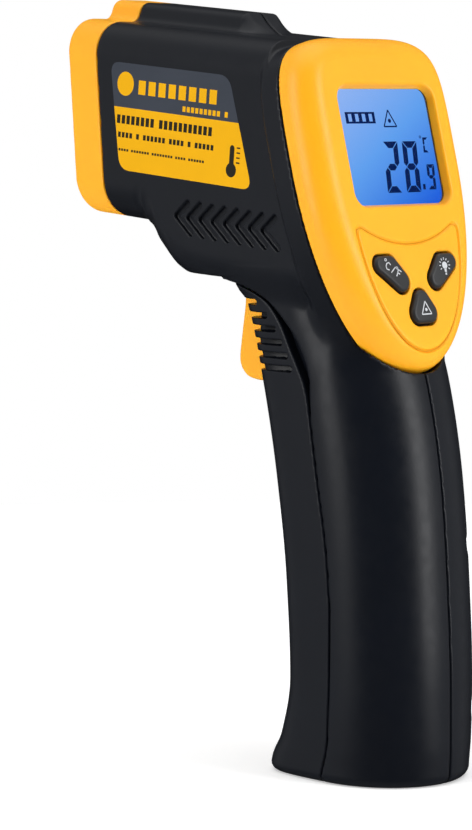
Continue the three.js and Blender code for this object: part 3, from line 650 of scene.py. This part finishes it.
# Blocks cut from it, as above: round the tongue, and for the trigger.
UNDER = [(14.2, -35, 6.5, -1, 2.6), (11.8, -35, 11.9, -1, 2.6)]
TRIGGER_WAY = (6.3, -35, 85, 75, 200)


def rib_slots(y, z):
    """The finger ribs' slots in side view, round at their rear ends and open ahead."""
    nearest = np.inf
    for i in range(RIB["count"]):
        height = RIB["top"] - i * RIB["pitch"]
        start = seam(height)[0] + RIB["from_seam"] - MIDDLE
        nearest = np.minimum(nearest, stroke(y, z, (start, height), (start + RIB["open_to"], height)))
    return nearest - RIB["half_height"]


def door(x, y, z):
    skin = body_skin(x, y, z)
    ahead = ahead_of_seam(y, z)
    section = grip_section(x, y, z)
    depth = SLOT["depth"] + SLOT["deeper"] * np.clip(SLOT["fade_from"] - ahead / SLOT["fade"], 0, 1)
    slots = np.maximum(rib_slots(y, z), -(skin + depth))
    wall = WALL + SLOT["wall"] * np.clip((z - SLOT["wall_from"]) / SLOT["wall_run"], 0, 1)
    hollow = meet(section + wall, SOLE["wall"] - z)
    under = join(*[centred(x, y, z, *step) for step in UNDER])
    shell = cut(cut(skin, hollow), under, 0.2)
    shell = cut(cut(shell, centred(x, y, z, *TRIGGER_WAY), 0.3), slots, 0.25)
    shell = meet(shell, WEDGE["from_door"] * wedge(z) - ahead, 0.3)
    shell = meet(meet(shell, z - DOOR_TOP["z"], 0.3), section - DOOR_TOP["out"], 0.3)
    bore = meet(from_axis(hinge, y, z) - HINGE["bore"], np.abs(x) - HINGE["bore_end"])
    return cut(np.minimum(shell, ears(x, y, z, *HINGE["door_ear"])), bore)


# --- the nose cap
# The sensor's socket and mouth and the laser's block and hole: radii, and places along the barrel. A cone is
# where it starts and its radius there, then where it ends and its radius there.
SOCKET = {"radius": 11.2, "rear": 72.6, "cone": (75, 11.2, 86, 16.4)}
MOUTH = {"seat": 9.6, "seat_end": 74.6, "throat": 8.2, "cone": (76, 8.2, 83.5, 14), "cone_from": 75.5}
LASER = {"block": 4.6, "rear": 77, "seat": 3.3, "seat_end": 79.3, "bore": 1.7, "rim": 2.9, "rim_from": 81.2}


def cone(radial, along, start, start_radius, end, end_radius):
    """The distance outside a cone round the sensor's axis."""
    slant = (end_radius - start_radius) / (end - start)
    return (radial - start_radius - slant * (along - start)) / math.hypot(1, slant)


def nose_cap(x, y, z):
    along, up = seen_from(BARREL_PLACE, y, z)
    skin, ahead = barrel_skin(x, y, z), nose_ahead(y, z)
    outer = meet(meet(skin, ahead - NOSE["length"], 1.6), GAP / 2 - ahead, 0.2)
    hollow = meet(skin + WALL, ahead - NOSE["length"] + WALL)
    sensor, laser = np.hypot(x, up - SENSOR_Z), np.hypot(x, up - LASER_Z)
    socket = np.minimum(sensor - SOCKET["radius"], cone(sensor, along, *SOCKET["cone"]))
    socket = meet(socket, SOCKET["rear"] - along)
    laser_block = meet(laser - LASER["block"], LASER["rear"] - along)
    cap = meet(np.minimum(cut(outer, hollow), np.minimum(socket, laser_block)), outer)
    mouth = np.minimum(meet(sensor - MOUTH["seat"], along - MOUTH["seat_end"]), sensor - MOUTH["throat"])
    mouth = np.minimum(mouth, meet(cone(sensor, along, *MOUTH["cone"]), MOUTH["cone_from"] - along))
    hole = meet(laser - LASER["seat"], along - LASER["seat_end"])
    hole = np.minimum(hole, meet(laser - LASER["rim"], LASER["rim_from"] - along))
    hole = np.minimum(hole, laser - LASER["bore"])
    return cut(cut(cap, mouth, 0.6), hole, 0.3)


# --- the display frame, in the face frame
WINDOW = {"x": 1.0, "up": -11.65, "half_width": 13.6, "half_height": 11.85, "corner": 2.6, "depth": 1.5,
          "flare": 0.5, "rim": 0.4}
PANEL = {"dip": -31.8, "radius": 25.9, "bottom": -53.9, "inset": 3.8, "flare": 0.095, "corner": 2.3,
         "groove": 0.42, "groove_width": 0.26}
KEYS = {
    "unit": [(-4.8, -39.4, 2.3), (-7.4, -36, 2.1), (-10, -35.8, 1.9)],
    "backlight": [(5.5, -39.3, 2.1), (8, -36.1, 2.1), (10.4, -35.9, 1.9)],
    "laser": [(0, -43.2, 2.1), (-1.5, -46, 2.25), (1.6, -46, 2.25)],
}


def rounded(circles, x, up):
    """The distance from the outline round three circles."""
    nearest = np.inf
    for (ax, ay, ar), (bx, by, br) in zip(circles, circles[1:] + circles[:1]):
        dx, dy = bx - ax, by - ay
        share = np.clip(((x - ax) * dx + (up - ay) * dy) / (dx * dx + dy * dy), 0, 1)
        radius = ar + share * (br - ar)
        nearest = np.minimum(nearest, np.hypot(x - ax - share * dx, up - ay - share * dy) - radius)
    return nearest


def key_panel(x, up):
    """The distance from the outline of the key panel, a shield with a crescent cut from its top."""
    inset = PANEL["inset"] + PANEL["flare"] * (up - PANEL["bottom"])
    crescent = PANEL["radius"] - np.hypot(x, up - PANEL["dip"] - PANEL["radius"])
    return meet(egg(x, up) + inset, crescent, PANEL["corner"])


def display_frame(x, up, out):
    outline, depth = egg(x, up), -out
    shell = cut(meet(outline, -depth, 5.6), meet(outline + WALL, WALL - depth, 4))
    shell = meet(shell, depth - FACE["depth"], 0.25)
    opening = meet(np.abs(x - WINDOW["x"]) - WINDOW["half_width"],
                   np.abs(up - WINDOW["up"]) - WINDOW["half_height"], WINDOW["corner"])
    shell = cut(shell, opening - WINDOW["flare"] * np.maximum(WINDOW["depth"] - depth, 0), WINDOW["rim"])
    groove = np.exp(-(key_panel(x, up) / PANEL["groove_width"]) ** 2)
    shell = shell + PANEL["groove"] * groove * (depth < 1)
    for circles in KEYS.values():
        shell = cut(shell, rounded(circles, x, up) - GAP, 0.3)
    return shell


# --- keys and trigger
KEY = {"proud": 0.9, "crown": 0.012, "skirt": 2.8, "round": 0.75, "shrink": 0.15, "flange": 0.85}
FLANGE = {"out": -2.6, "half_height": 0.4}
STEM = {"radius": 1.9, "top": -2.9, "foot": -4.1}


def key_field(circles):
    """A key with a softly crowned top, a flange behind the frame and a stem."""
    centre = np.mean(circles, axis=0)

    def field(x, up, out):
        across = np.hypot(x - centre[0], up - centre[1])
        outline = rounded(circles, x, up) + KEY["shrink"]
        crown = out - KEY["proud"] + KEY["crown"] * across ** 2
        cap = meet(outline, meet(crown, -KEY["skirt"] - out), KEY["round"])
        flange = meet(outline - KEY["flange"], np.abs(out - FLANGE["out"]) - FLANGE["half_height"], 0.15)
        stem = meet(across - STEM["radius"], np.maximum(out - STEM["top"], STEM["foot"] - out), 0.15)
        return np.minimum(np.minimum(cap, flange), stem)

    return field


TRIGGER_SIDE = [(31.6, 100), (31.9, 94.7), (32.8, 88.6), (33.5, 83.6), (33.2, 81.2), (31.8, 79.4),
                (29.8, 78.6), (26.4, 78.4), (22.6, 79), (20.6, 81), (19.4, 86), (18.6, 92), (17.8, 98.5),
                (14.2, 102), (13.4, 102.4), (13.4, 104.4), (20.5, 105.6), (24, 107), (27.4, 105.2)]
TRIGGER = {"half_width": 5.3, "round": 1.5, "bore": 1.35}


def smooth_loop(points, per=5):
    """A closed outline through some points, rounded between them."""
    points = np.array(points, float)
    t = np.arange(per)[:, None] / per
    p0, p1, p2, p3 = (np.roll(points, shift, axis=0)[:, None, :] for shift in (1, 0, -1, -2))
    curve = p1 + 0.5 * t * (p2 - p0 + t * (2 * p0 - 5 * p1 + 4 * p2 - p3 + t * (3 * (p1 - p2) + p3 - p0)))
    return curve.reshape(-1, 2)


def polygon(u, v, points):
    """The signed distance from a closed outline in a plane."""
    nearest, inside = np.inf, False
    for a, b in zip(points, np.roll(points, -1, axis=0)):
        nearest = np.minimum(nearest, stroke(u, v, a, b))
        if a[1] != b[1]:
            crossing = ((v < a[1]) != (v < b[1])) & (u < a[0] + (v - a[1]) * (b[0] - a[0]) / (b[1] - a[1]))
            inside = inside ^ crossing
    return np.where(inside, -nearest, nearest)


trigger_outline = smooth_loop(TRIGGER_SIDE)


def trigger(x, y, z):
    side = polygon(y + MIDDLE, z, trigger_outline)
    body = meet(side, np.abs(x) - TRIGGER["half_width"], TRIGGER["round"])
    return cut(body, from_axis(pivot, y, z) - TRIGGER["bore"])


def screw_field(name):
    """A housing screw with a cross recess in its head."""
    spot, end, start = screw_at[name], screw_end[name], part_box(name)[0].x / MM

    def field(x, y, z):
        dy, dz = y - spot.y, z - spot.z
        across = np.hypot(dy, dz)
        head = meet(across - SCREW["head"], np.maximum(end - SCREW["head_height"] - x, x - end), 0.5)
        thread = SCREW["thread"] + 0.12 * np.sin(2 * np.pi * x / SCREW["pitch"] + np.arctan2(dz, dy))
        shank = meet(across - thread, np.maximum(start - x, x - end + 1))
        cross = meet(np.minimum(np.abs(dy), np.abs(dz)) - 0.32, across - 1.45 + 0.5 * (end - x))
        return cut(np.minimum(head, shank), meet(cross, end - 1.1 - x), 0.08)

    return field


# --- flat shapes: prints, icons and segments
def plates(name, shapes, materials, replaced=(), place=FACE_PLACE, body="handset"):
    """Thin flat shapes, each an outline in the place's x and y, its lowest and highest z and a material."""
    spots, faces, looks = [], [], []
    for outline, low, high, look in shapes:
        turn = sum(a[0] * b[1] - b[0] * a[1] for a, b in zip(outline, outline[1:] + outline[:1]))
        outline = outline if turn > 0 else outline[::-1]
        first, count = len(spots), len(outline)
        spots += [place @ Vector((u, v, level)) * MM for level in (low, high) for u, v in outline]
        faces.append([first + count + i for i in range(count)])
        faces.append([first + i for i in reversed(range(count))])
        faces += [[first + i, first + (i + 1) % count, first + count + (i + 1) % count, first + count + i]
                  for i in range(count)]
        looks += [look] * (count + 2)
    mesh = bpy.data.meshes.new(name)
    mesh.from_pydata(spots, [], faces)
    for material in materials:
        mesh.materials.append(material)
    mesh.polygons.foreach_set("material_index", looks)
    placed(name, mesh, body, replaced)


def arc(u, v, radius, start, end, sides):
    """Points along part of a circle from one angle to another, in degrees."""
    turns = np.radians(np.linspace(start, end, sides + 1))
    return [(u + radius * math.cos(turn), v + radius * math.sin(turn)) for turn in turns]


def disc(u, v, radius, sides=24):
    return arc(u, v, radius, 0, 360, sides)[:-1]


def line(a, b, width):
    """A straight line of some width between two points."""
    du, dv = b[0] - a[0], b[1] - a[1]
    size = 2 * math.hypot(du, dv) / width
    du, dv = du / size, dv / size
    return [(a[0] + dv, a[1] - du), (b[0] + dv, b[1] - du), (b[0] - dv, b[1] + du), (a[0] - dv, a[1] + du)]


def ring(points, width):
    """Lines round a closed outline."""
    return [line(a, b, width) for a, b in zip(points, points[1:] + points[:1])]


def softened(corners, radii, steps=6):
    """An outline whose corners are rounded by their own radii."""
    outline = []
    for i, (corner, radius) in enumerate(zip(corners, radii)):
        if not radius:
            outline.append(corner)
            continue
        corner = Vector(corner)
        before = corner + (Vector(corners[i - 1]) - corner).normalized() * radius
        after = corner + (Vector(corners[(i + 1) % len(corners)]) - corner).normalized() * radius
        for step in range(steps + 1):
            t = step / steps
            outline.append(tuple(before * (1 - t) ** 2 + corner * (2 * t * (1 - t)) + after * t * t))
    return outline


# The lit bars of each figure, lettered from the top clockwise, with g across the middle.
LIT = {"2": "abged", "8": "abcdefg", "9": "abcdfg", "C": "adef"}


def figure(sign, left, bottom, width, height, bar, gap):
    """A seven-segment figure's lit bars, mitred where they meet."""
    right, top, half = left + width, bottom + height, bottom + height / 2
    across, inner, cut_back = left + right, gap / 2, bar + gap / 2
    upper = [(left + gap, top), (right - gap, top), (right - cut_back - inner, top - bar),
             (left + cut_back + inner, top - bar)]
    side = [(left, top - gap), (left + bar, top - cut_back - inner), (left + bar, half + bar / 2 + gap),
            (left + bar / 2, half + gap), (left, half + bar / 2 + gap)]
    middle = [(left + bar / 2 + gap, half), (left + bar + gap, half + bar / 2),
              (right - bar - gap, half + bar / 2), (right - bar / 2 - gap, half),
              (right - bar - gap, half - bar / 2), (left + bar + gap, half - bar / 2)]

    def mirrored(shape, over_x, over_y):
        return [(across - u if over_x else u, 2 * half - v if over_y else v) for u, v in shape]

    bars = {"a": upper, "b": mirrored(side, True, False), "c": mirrored(side, True, True),
            "d": mirrored(upper, False, True), "e": mirrored(side, False, True), "f": side, "g": middle}
    return [bars[letter] for letter in LIT[sign]]


def triangle_sign(u, v, size, width):
    """An outlined triangle with a dot, for the beam."""
    corners = [(u - 0.55 * size, v - 0.45 * size), (u + 0.55 * size, v - 0.45 * size), (u, v + 0.55 * size)]
    return [*ring(corners, width), disc(u, v - 0.1 * size, 0.13 * size, 12)]


# --- making the mouldings
FINE = 1.0

for side, field in (("left", left_shell), ("right", right_shell)):
    moulding(f"{side}_shell", field, *room(f"housing_{side}"), 0.5 * FINE, "handset", "charcoal",
             [f"housing_{side}"], y=[(-17, 13.2, 0.25)], z=[(103, 114, 0.25)])
moulding("grip_door", door, *room("battery_door"), 0.42 * FINE, "door", "charcoal", ["battery_door"],
         z=[(81, 98, 0.25)])
moulding("nose_moulding", nose_cap, *room("nose_cap"), 0.42 * FINE, "handset", "yellow", ["nose_cap"])
moulding("trigger_moulding", trigger, *room("trigger"), 0.4 * FINE, "trigger_lever", "yellow", ["trigger"])
moulding("display_surround", display_frame, (-22.5, -57.8, -8.5), (22.5, 12.5, 0.8), 0.26 * FINE, "handset",
         "yellow", ["display_bezel"], FACE_PLACE)
for key, circles in KEYS.items():
    centre = np.mean(circles, axis=0)
    moulding(f"{key}_keycap", key_field(circles), (centre[0] - 6.5, centre[1] - 6, -4.6),
             (centre[0] + 6.5, centre[1] + 6, 1.3), 0.2 * FINE, f"{key}_key", "key_rubber",
             [f"{key}_button"], FACE_PLACE)
for name in SCREWS:
    moulding(f"{name}_turned", screw_field(name), *room(name), 0.25 * FINE, "handset", "steel", [name])

# --- the display
def screen_outline(grow, right_edge):
    """The window's outline, grown on three sides and moved by right_edge on its right."""
    left, right = WINDOW["x"] - WINDOW["half_width"] - grow, WINDOW["x"] + WINDOW["half_width"] + right_edge
    top, foot = WINDOW["up"] + WINDOW["half_height"] + grow, WINDOW["up"] - WINDOW["half_height"] - grow
    return softened([(right, top), (left, top), (left, foot), (right, foot)], [WINDOW["corner"] + 0.6] * 4)


def leaning(shapes, foot, lean=0.11):
    """Display figures lean a little to the right."""
    return [[(u + lean * (v - foot), v) for u, v in shape] for shape in shapes]


def panel_line(middle=-43.0, sides=120):
    """A thin line round the key panel, traced outward from a point inside it."""
    turns = np.linspace(0, 2 * np.pi, sides, endpoint=False)
    near, far = np.zeros(sides), np.full(sides, 30.0)
    for _ in range(24):
        reach = (near + far) / 2
        inside = key_panel(reach * np.cos(turns), middle + reach * np.sin(turns)) < 0
        near, far = np.where(inside, reach, near), np.where(inside, far, reach)
    return ring(list(zip(near * np.cos(turns), middle + near * np.sin(turns))), 0.24)


# Strips of darker yellow laid in the bottom of the key panel's groove: painted shade in the groove.
painted_shade_strips_in_groove = [(shape, -PANEL["groove"], -0.7 * PANEL["groove"], 0) for shape in panel_line()]
plates("panel_groove_painted_shade", painted_shade_strips_in_groove, [PAINTED_GROOVE_SHADE])

INK_DEPTH = WINDOW["depth"] + 0.1
# The black plate under the display's glass shows past the glass's narrower right edge: the display module's black
# border, and also painted shadow in the gap along the right side.
layers = [
    ("lcd_border", screen_outline(0.3, 0.3), -3.4, -INK_DEPTH - 0.06, "black_part", []),
    ("lcd_glass", screen_outline(0.2, -0.45), -3.3, -INK_DEPTH - 0.02, "lcd", ["lcd_panel"]),
    ("display_pane", screen_outline(-0.05, -0.05), -INK_DEPTH + 0.03, -WINDOW["depth"], "clear",
     ["display_window"]),
]
for name, outline, low, high, slot, replaced in layers:
    plates(name, [(outline, low, high, 0)], [SLOT_LOOKS[slot]], replaced)
DIGIT = {"bottom": -21.1, "width": 4.3, "height": 10.5, "bar": 1.35, "gap": 0.14}
TENTH = {"bottom": -20.65, "width": 2.3, "height": 5.2, "bar": 0.75, "gap": 0.06}
UNIT_SIGN = {"bottom": -13, "width": 1.45, "height": 3.15, "bar": 0.5, "gap": 0}
POINT = ((9.1, -20.6), (9.1, -19.5))
status_box = [(-10.4, -6.85), (-1.8, -6.85), (-1.8, -4.5), (-10.4, -4.5)]
segments = [
    *leaning([*figure("2", -2.0, **DIGIT), *figure("8", 3.7, **DIGIT)], DIGIT["bottom"]),
    *leaning([*figure("9", 10.4, **TENTH), line(*POINT, TENTH["bar"])], POINT[0][1]),
    *leaning(figure("C", 10.9, **UNIT_SIGN), UNIT_SIGN["bottom"]),
    *ring(disc(10.6, -9.75, 0.25, 8), 0.14),
    *triangle_sign(2.35, -6.0, 3.4, 0.3),
    status_box,
]
status_bars = [line((u, -6.45), (u, -4.9), 0.95) for u in (-9.1, -7.1, -5.1, -3.1)]
plates("lcd_segments", [(shape, -INK_DEPTH - 0.03, -INK_DEPTH, 0) for shape in segments]
       + [(bar, -INK_DEPTH - 0.02, -INK_DEPTH + 0.01, 1) for bar in status_bars],
       [SEGMENT_INK, SLOT_LOOKS["lcd"]])


# --- icons on the keys
def tilted(shapes, centre, turn):
    """Shapes turned about the origin and moved to a centre."""
    cos, sin = math.cos(turn), math.sin(turn)
    return [[(centre[0] + u * cos - v * sin, centre[1] + u * sin + v * cos) for u, v in shape]
            for shape in shapes]


def bulb():
    """A lamp with rays round its glass."""
    middle, inner, outer = 0.35, 1.15, 1.6
    rays = []
    for turn in range(-30, 211, 30):
        u, v = math.cos(math.radians(turn)), math.sin(math.radians(turn))
        rays.append(line((inner * u, middle + inner * v), (outer * u, middle + outer * v), 0.2))
    neck = [line((0, -0.2), (0, -1.0), 0.6), line((0, -1.15), (0, -1.6), 0.42)]
    return [disc(0, middle, 0.75, 20), *neck, *rays]


def degrees():
    """A degree ring and the plain letters C and F with a stroke between them."""
    letter_c = [(-1.0, 0.55), (-1.65, 0.75), (-2.1, 0.3), (-2.1, -0.35), (-1.65, -0.8), (-1.0, -0.6)]
    c = [line(a, b, 0.22) for a, b in zip(letter_c, letter_c[1:])]
    slash = [line((-0.35, -0.85), (0.3, 0.85), 0.2)]
    f = [line((1.2, -0.8), (1.2, 0.8), 0.24), line((1.1, 0.75), (2.1, 0.75), 0.22),
         line((1.1, 0.05), (1.9, 0.05), 0.22)]
    return [*ring(disc(-2.6, 0.85, 0.25, 8), 0.14), *c, *slash, *ring(disc(0.75, 0.85, 0.25, 8), 0.14), *f]


ICONS = {"unit": (degrees(), math.radians(-32)), "backlight": (bulb(), 0.0),
         "laser": (triangle_sign(0, -0.1, 2.6, 0.24), 0.0)}
for key, circles in KEYS.items():
    shapes, turn = ICONS[key]
    raised = [(shape, KEY["proud"] - 0.12, KEY["proud"] + 0.015, 0)
              for shape in tilted(shapes, np.mean(circles, axis=0), turn)]
    plates(f"{key}_icon", raised, [ICON_GREY], body=f"{key}_key")

# --- the side labels
LABEL = {"corners": [(69.6, 135.6), (34.4, 135.6), (26, 113.4), (65, 113.4)], "band": 126.4, "round": 2.8}


def lettering(start, up, height, pitch, words):
    """Plain blocks that stand for a line of print, one to a letter."""
    blocks, place = [], start
    for letters in words:
        for _ in range(letters):
            blocks.append(line((place, up), (place - 0.7 * pitch, up), height))
            place -= pitch
        place -= 0.8 * pitch
    return blocks


def label_shapes():
    """The label's two fields with plain bars for its lines of print, and a thermometer sign."""
    (front_top, rear_top, rear_foot, front_foot), band = LABEL["corners"], LABEL["band"]

    def at_band(top, foot):
        share = (top[1] - band) / (top[1] - foot[1])
        return (top[0] + share * (foot[0] - top[0]), band)

    front, rear, r = at_band(front_top, front_foot), at_band(rear_top, rear_foot), LABEL["round"]
    fields = [(softened([front_top, rear_top, rear, front], [r, r, 0, 0]), 1),
              (softened([front, rear, rear_foot, front_foot], [0, 0, r, r]), 0)]
    heading = [disc(64.6, 131.3, 2.5), *lettering(60.6, 130.9, 2.9, 3.0, [8]),
               *lettering(47.2, 127.7, 1.1, 1.25, [9, 1])]
    rows = [*lettering(66.6, 123.9, 1.8, 1.45, [8, 11]), *lettering(66, 120.7, 1.1, 1.15, [4, 1, 6, 4, 1, 5]),
            *lettering(65.6, 117.6, 0.5, 0.8, [4, 7, 8, 4, 6])]
    thermometer = arc(32.2, 121.2, 0.65, 0, 180, 8) + arc(32.2, 116.8, 1.45, 116.6, 423.4, 24)
    marks = [line((30.9, up), (29.9, up), 0.3) for up in (118.4, 119.4, 120.4, 121.4)]
    return ([(shape, -0.1, 0.03, look) for shape, look in fields]
            + [(shape, 0.02, 0.045, 0) for shape in heading]
            + [(shape, 0.02, 0.045, 2) for shape in [*rows, thermometer, *marks]])


for side, name in ((-1, "side_label_left"), (1, "side_label_right")):
    columns = Matrix(((0, 0, side), (side, 0, 0), (0, 1, 0))).to_4x4()
    place = BARREL_PLACE @ Matrix.Translation((side * BARREL["half_width"], 0, 0)) @ columns
    shapes = [([(side * along, up) for along, up in outline], low, high, look)
              for outline, low, high, look in label_shapes()]
    plates(f"{name}_print", shapes, [SLOT_LOOKS["sticker"], LABEL_SLATE, LABEL_INK], [name], place)

# --- floor, lights and camera
low, high = cad_box
scene = bpy.context.scene
scene.view_settings.view_transform = "Standard"


def floor():
    """A round pale floor, in metres."""
    rim = [(*spot, 0) for spot in disc(0, 0, 0.4, 64)]
    mesh = bpy.data.meshes.new("floor")
    mesh.from_pydata(rim, [], [range(len(rim))])
    glow = {"Emission_Color": (1, 1, 1, 1), "Emission_Strength": 0.3}
    mesh.materials.append(shader("pale_floor", (0.95, 0.95, 0.95), 0.8, **glow)[0])
    piece = linked("floor", mesh)
    piece.visible_glossy = False


def softbox(name, place, target, width, height, power):
    lamp = bpy.data.lights.new(name, "AREA")
    lamp.shape = "RECTANGLE"
    lamp.size, lamp.size_y, lamp.energy = width, height, power
    light = linked(name, lamp)
    light.location = place
    light.rotation_euler = (Vector(target) - Vector(place)).to_track_quat("-Z", "Y").to_euler()


floor()
centre = (low + high) / 2
softbox("left_box", (-0.87, 0.18, 0.35), centre, 0.4, 0.7, 4.0)
softbox("rear_box", (0.22, -0.85, 0.3), centre, 0.28, 0.8, 5.2)
sun = bpy.data.lights.new("ceiling", "SUN")
sun.energy, sun.angle = 1.0, math.radians(70)
linked("ceiling", sun)


def studio():
    """A pale room, dark behind the camera and straight ahead of it. Past the floor the camera sees white."""
    world = bpy.data.worlds.new("studio")
    world.use_nodes = True
    tree = world.node_tree
    spot = node(tree, "TexCoord").outputs["Generated"]
    facing = node(tree, "VectorMath", {0: spot, 1: (-0.7, -0.7, 0.1)}, operation="DOT_PRODUCT")
    greys = [(place, [level] * 3) for place, level in ((0.08, 0.04), (0.9, 0.04), (0.28, 0.5), (0.7, 0.85))]
    levels = ramp(tree, rescaled(tree, facing.outputs["Value"], -1, 1), *greys)
    levels.color_ramp.interpolation = "EASE"
    height = node(tree, "SeparateXYZ", {"Vector": spot}).outputs["Z"]
    below = rescaled(tree, height, -0.5, -0.08, 0.35)
    dimmed = node(tree, "VectorMath", operation="SCALE")
    tree.links.new(levels.outputs["Color"], dimmed.inputs[0])
    tree.links.new(below, dimmed.inputs["Scale"])
    seen = node(tree, "LightPath").outputs["Is Camera Ray"]
    shades = {"Factor": seen, "A": dimmed.outputs["Vector"], "B": (1, 1, 1, 1)}
    shown = node(tree, "Mix", shades, data_type="RGBA")
    tree.links.new(shown.outputs["Result"], tree.nodes["Background"].inputs["Color"])
    scene.world = world


studio()
VIEW = {"azimuth": math.radians(-45), "elevation": math.radians(5.9), "distance": 0.62, "aside": 0.0426,
        "up": 0.071, "lens": 134.46, "heel": 21}
aim = Vector((0, -(MIDDLE + VIEW["heel"]) * MM, SOLE_DROP * MM))
turn = Matrix.Rotation(VIEW["azimuth"], 3, "Z") @ Matrix.Rotation(-VIEW["elevation"], 3, "X")
right, forward, upward = (turn.col[i] for i in range(3))
lens = bpy.data.cameras.new("camera")
lens.sensor_fit, lens.sensor_height, lens.lens = "VERTICAL", 36, VIEW["lens"]
camera = linked("camera", lens)
camera.location = aim - VIEW["distance"] * forward - VIEW["aside"] * right + VIEW["up"] * upward
camera.rotation_euler = forward.to_track_quat("-Z", "Y").to_euler()
scene.camera = camera

bpy.context.view_layer.update()
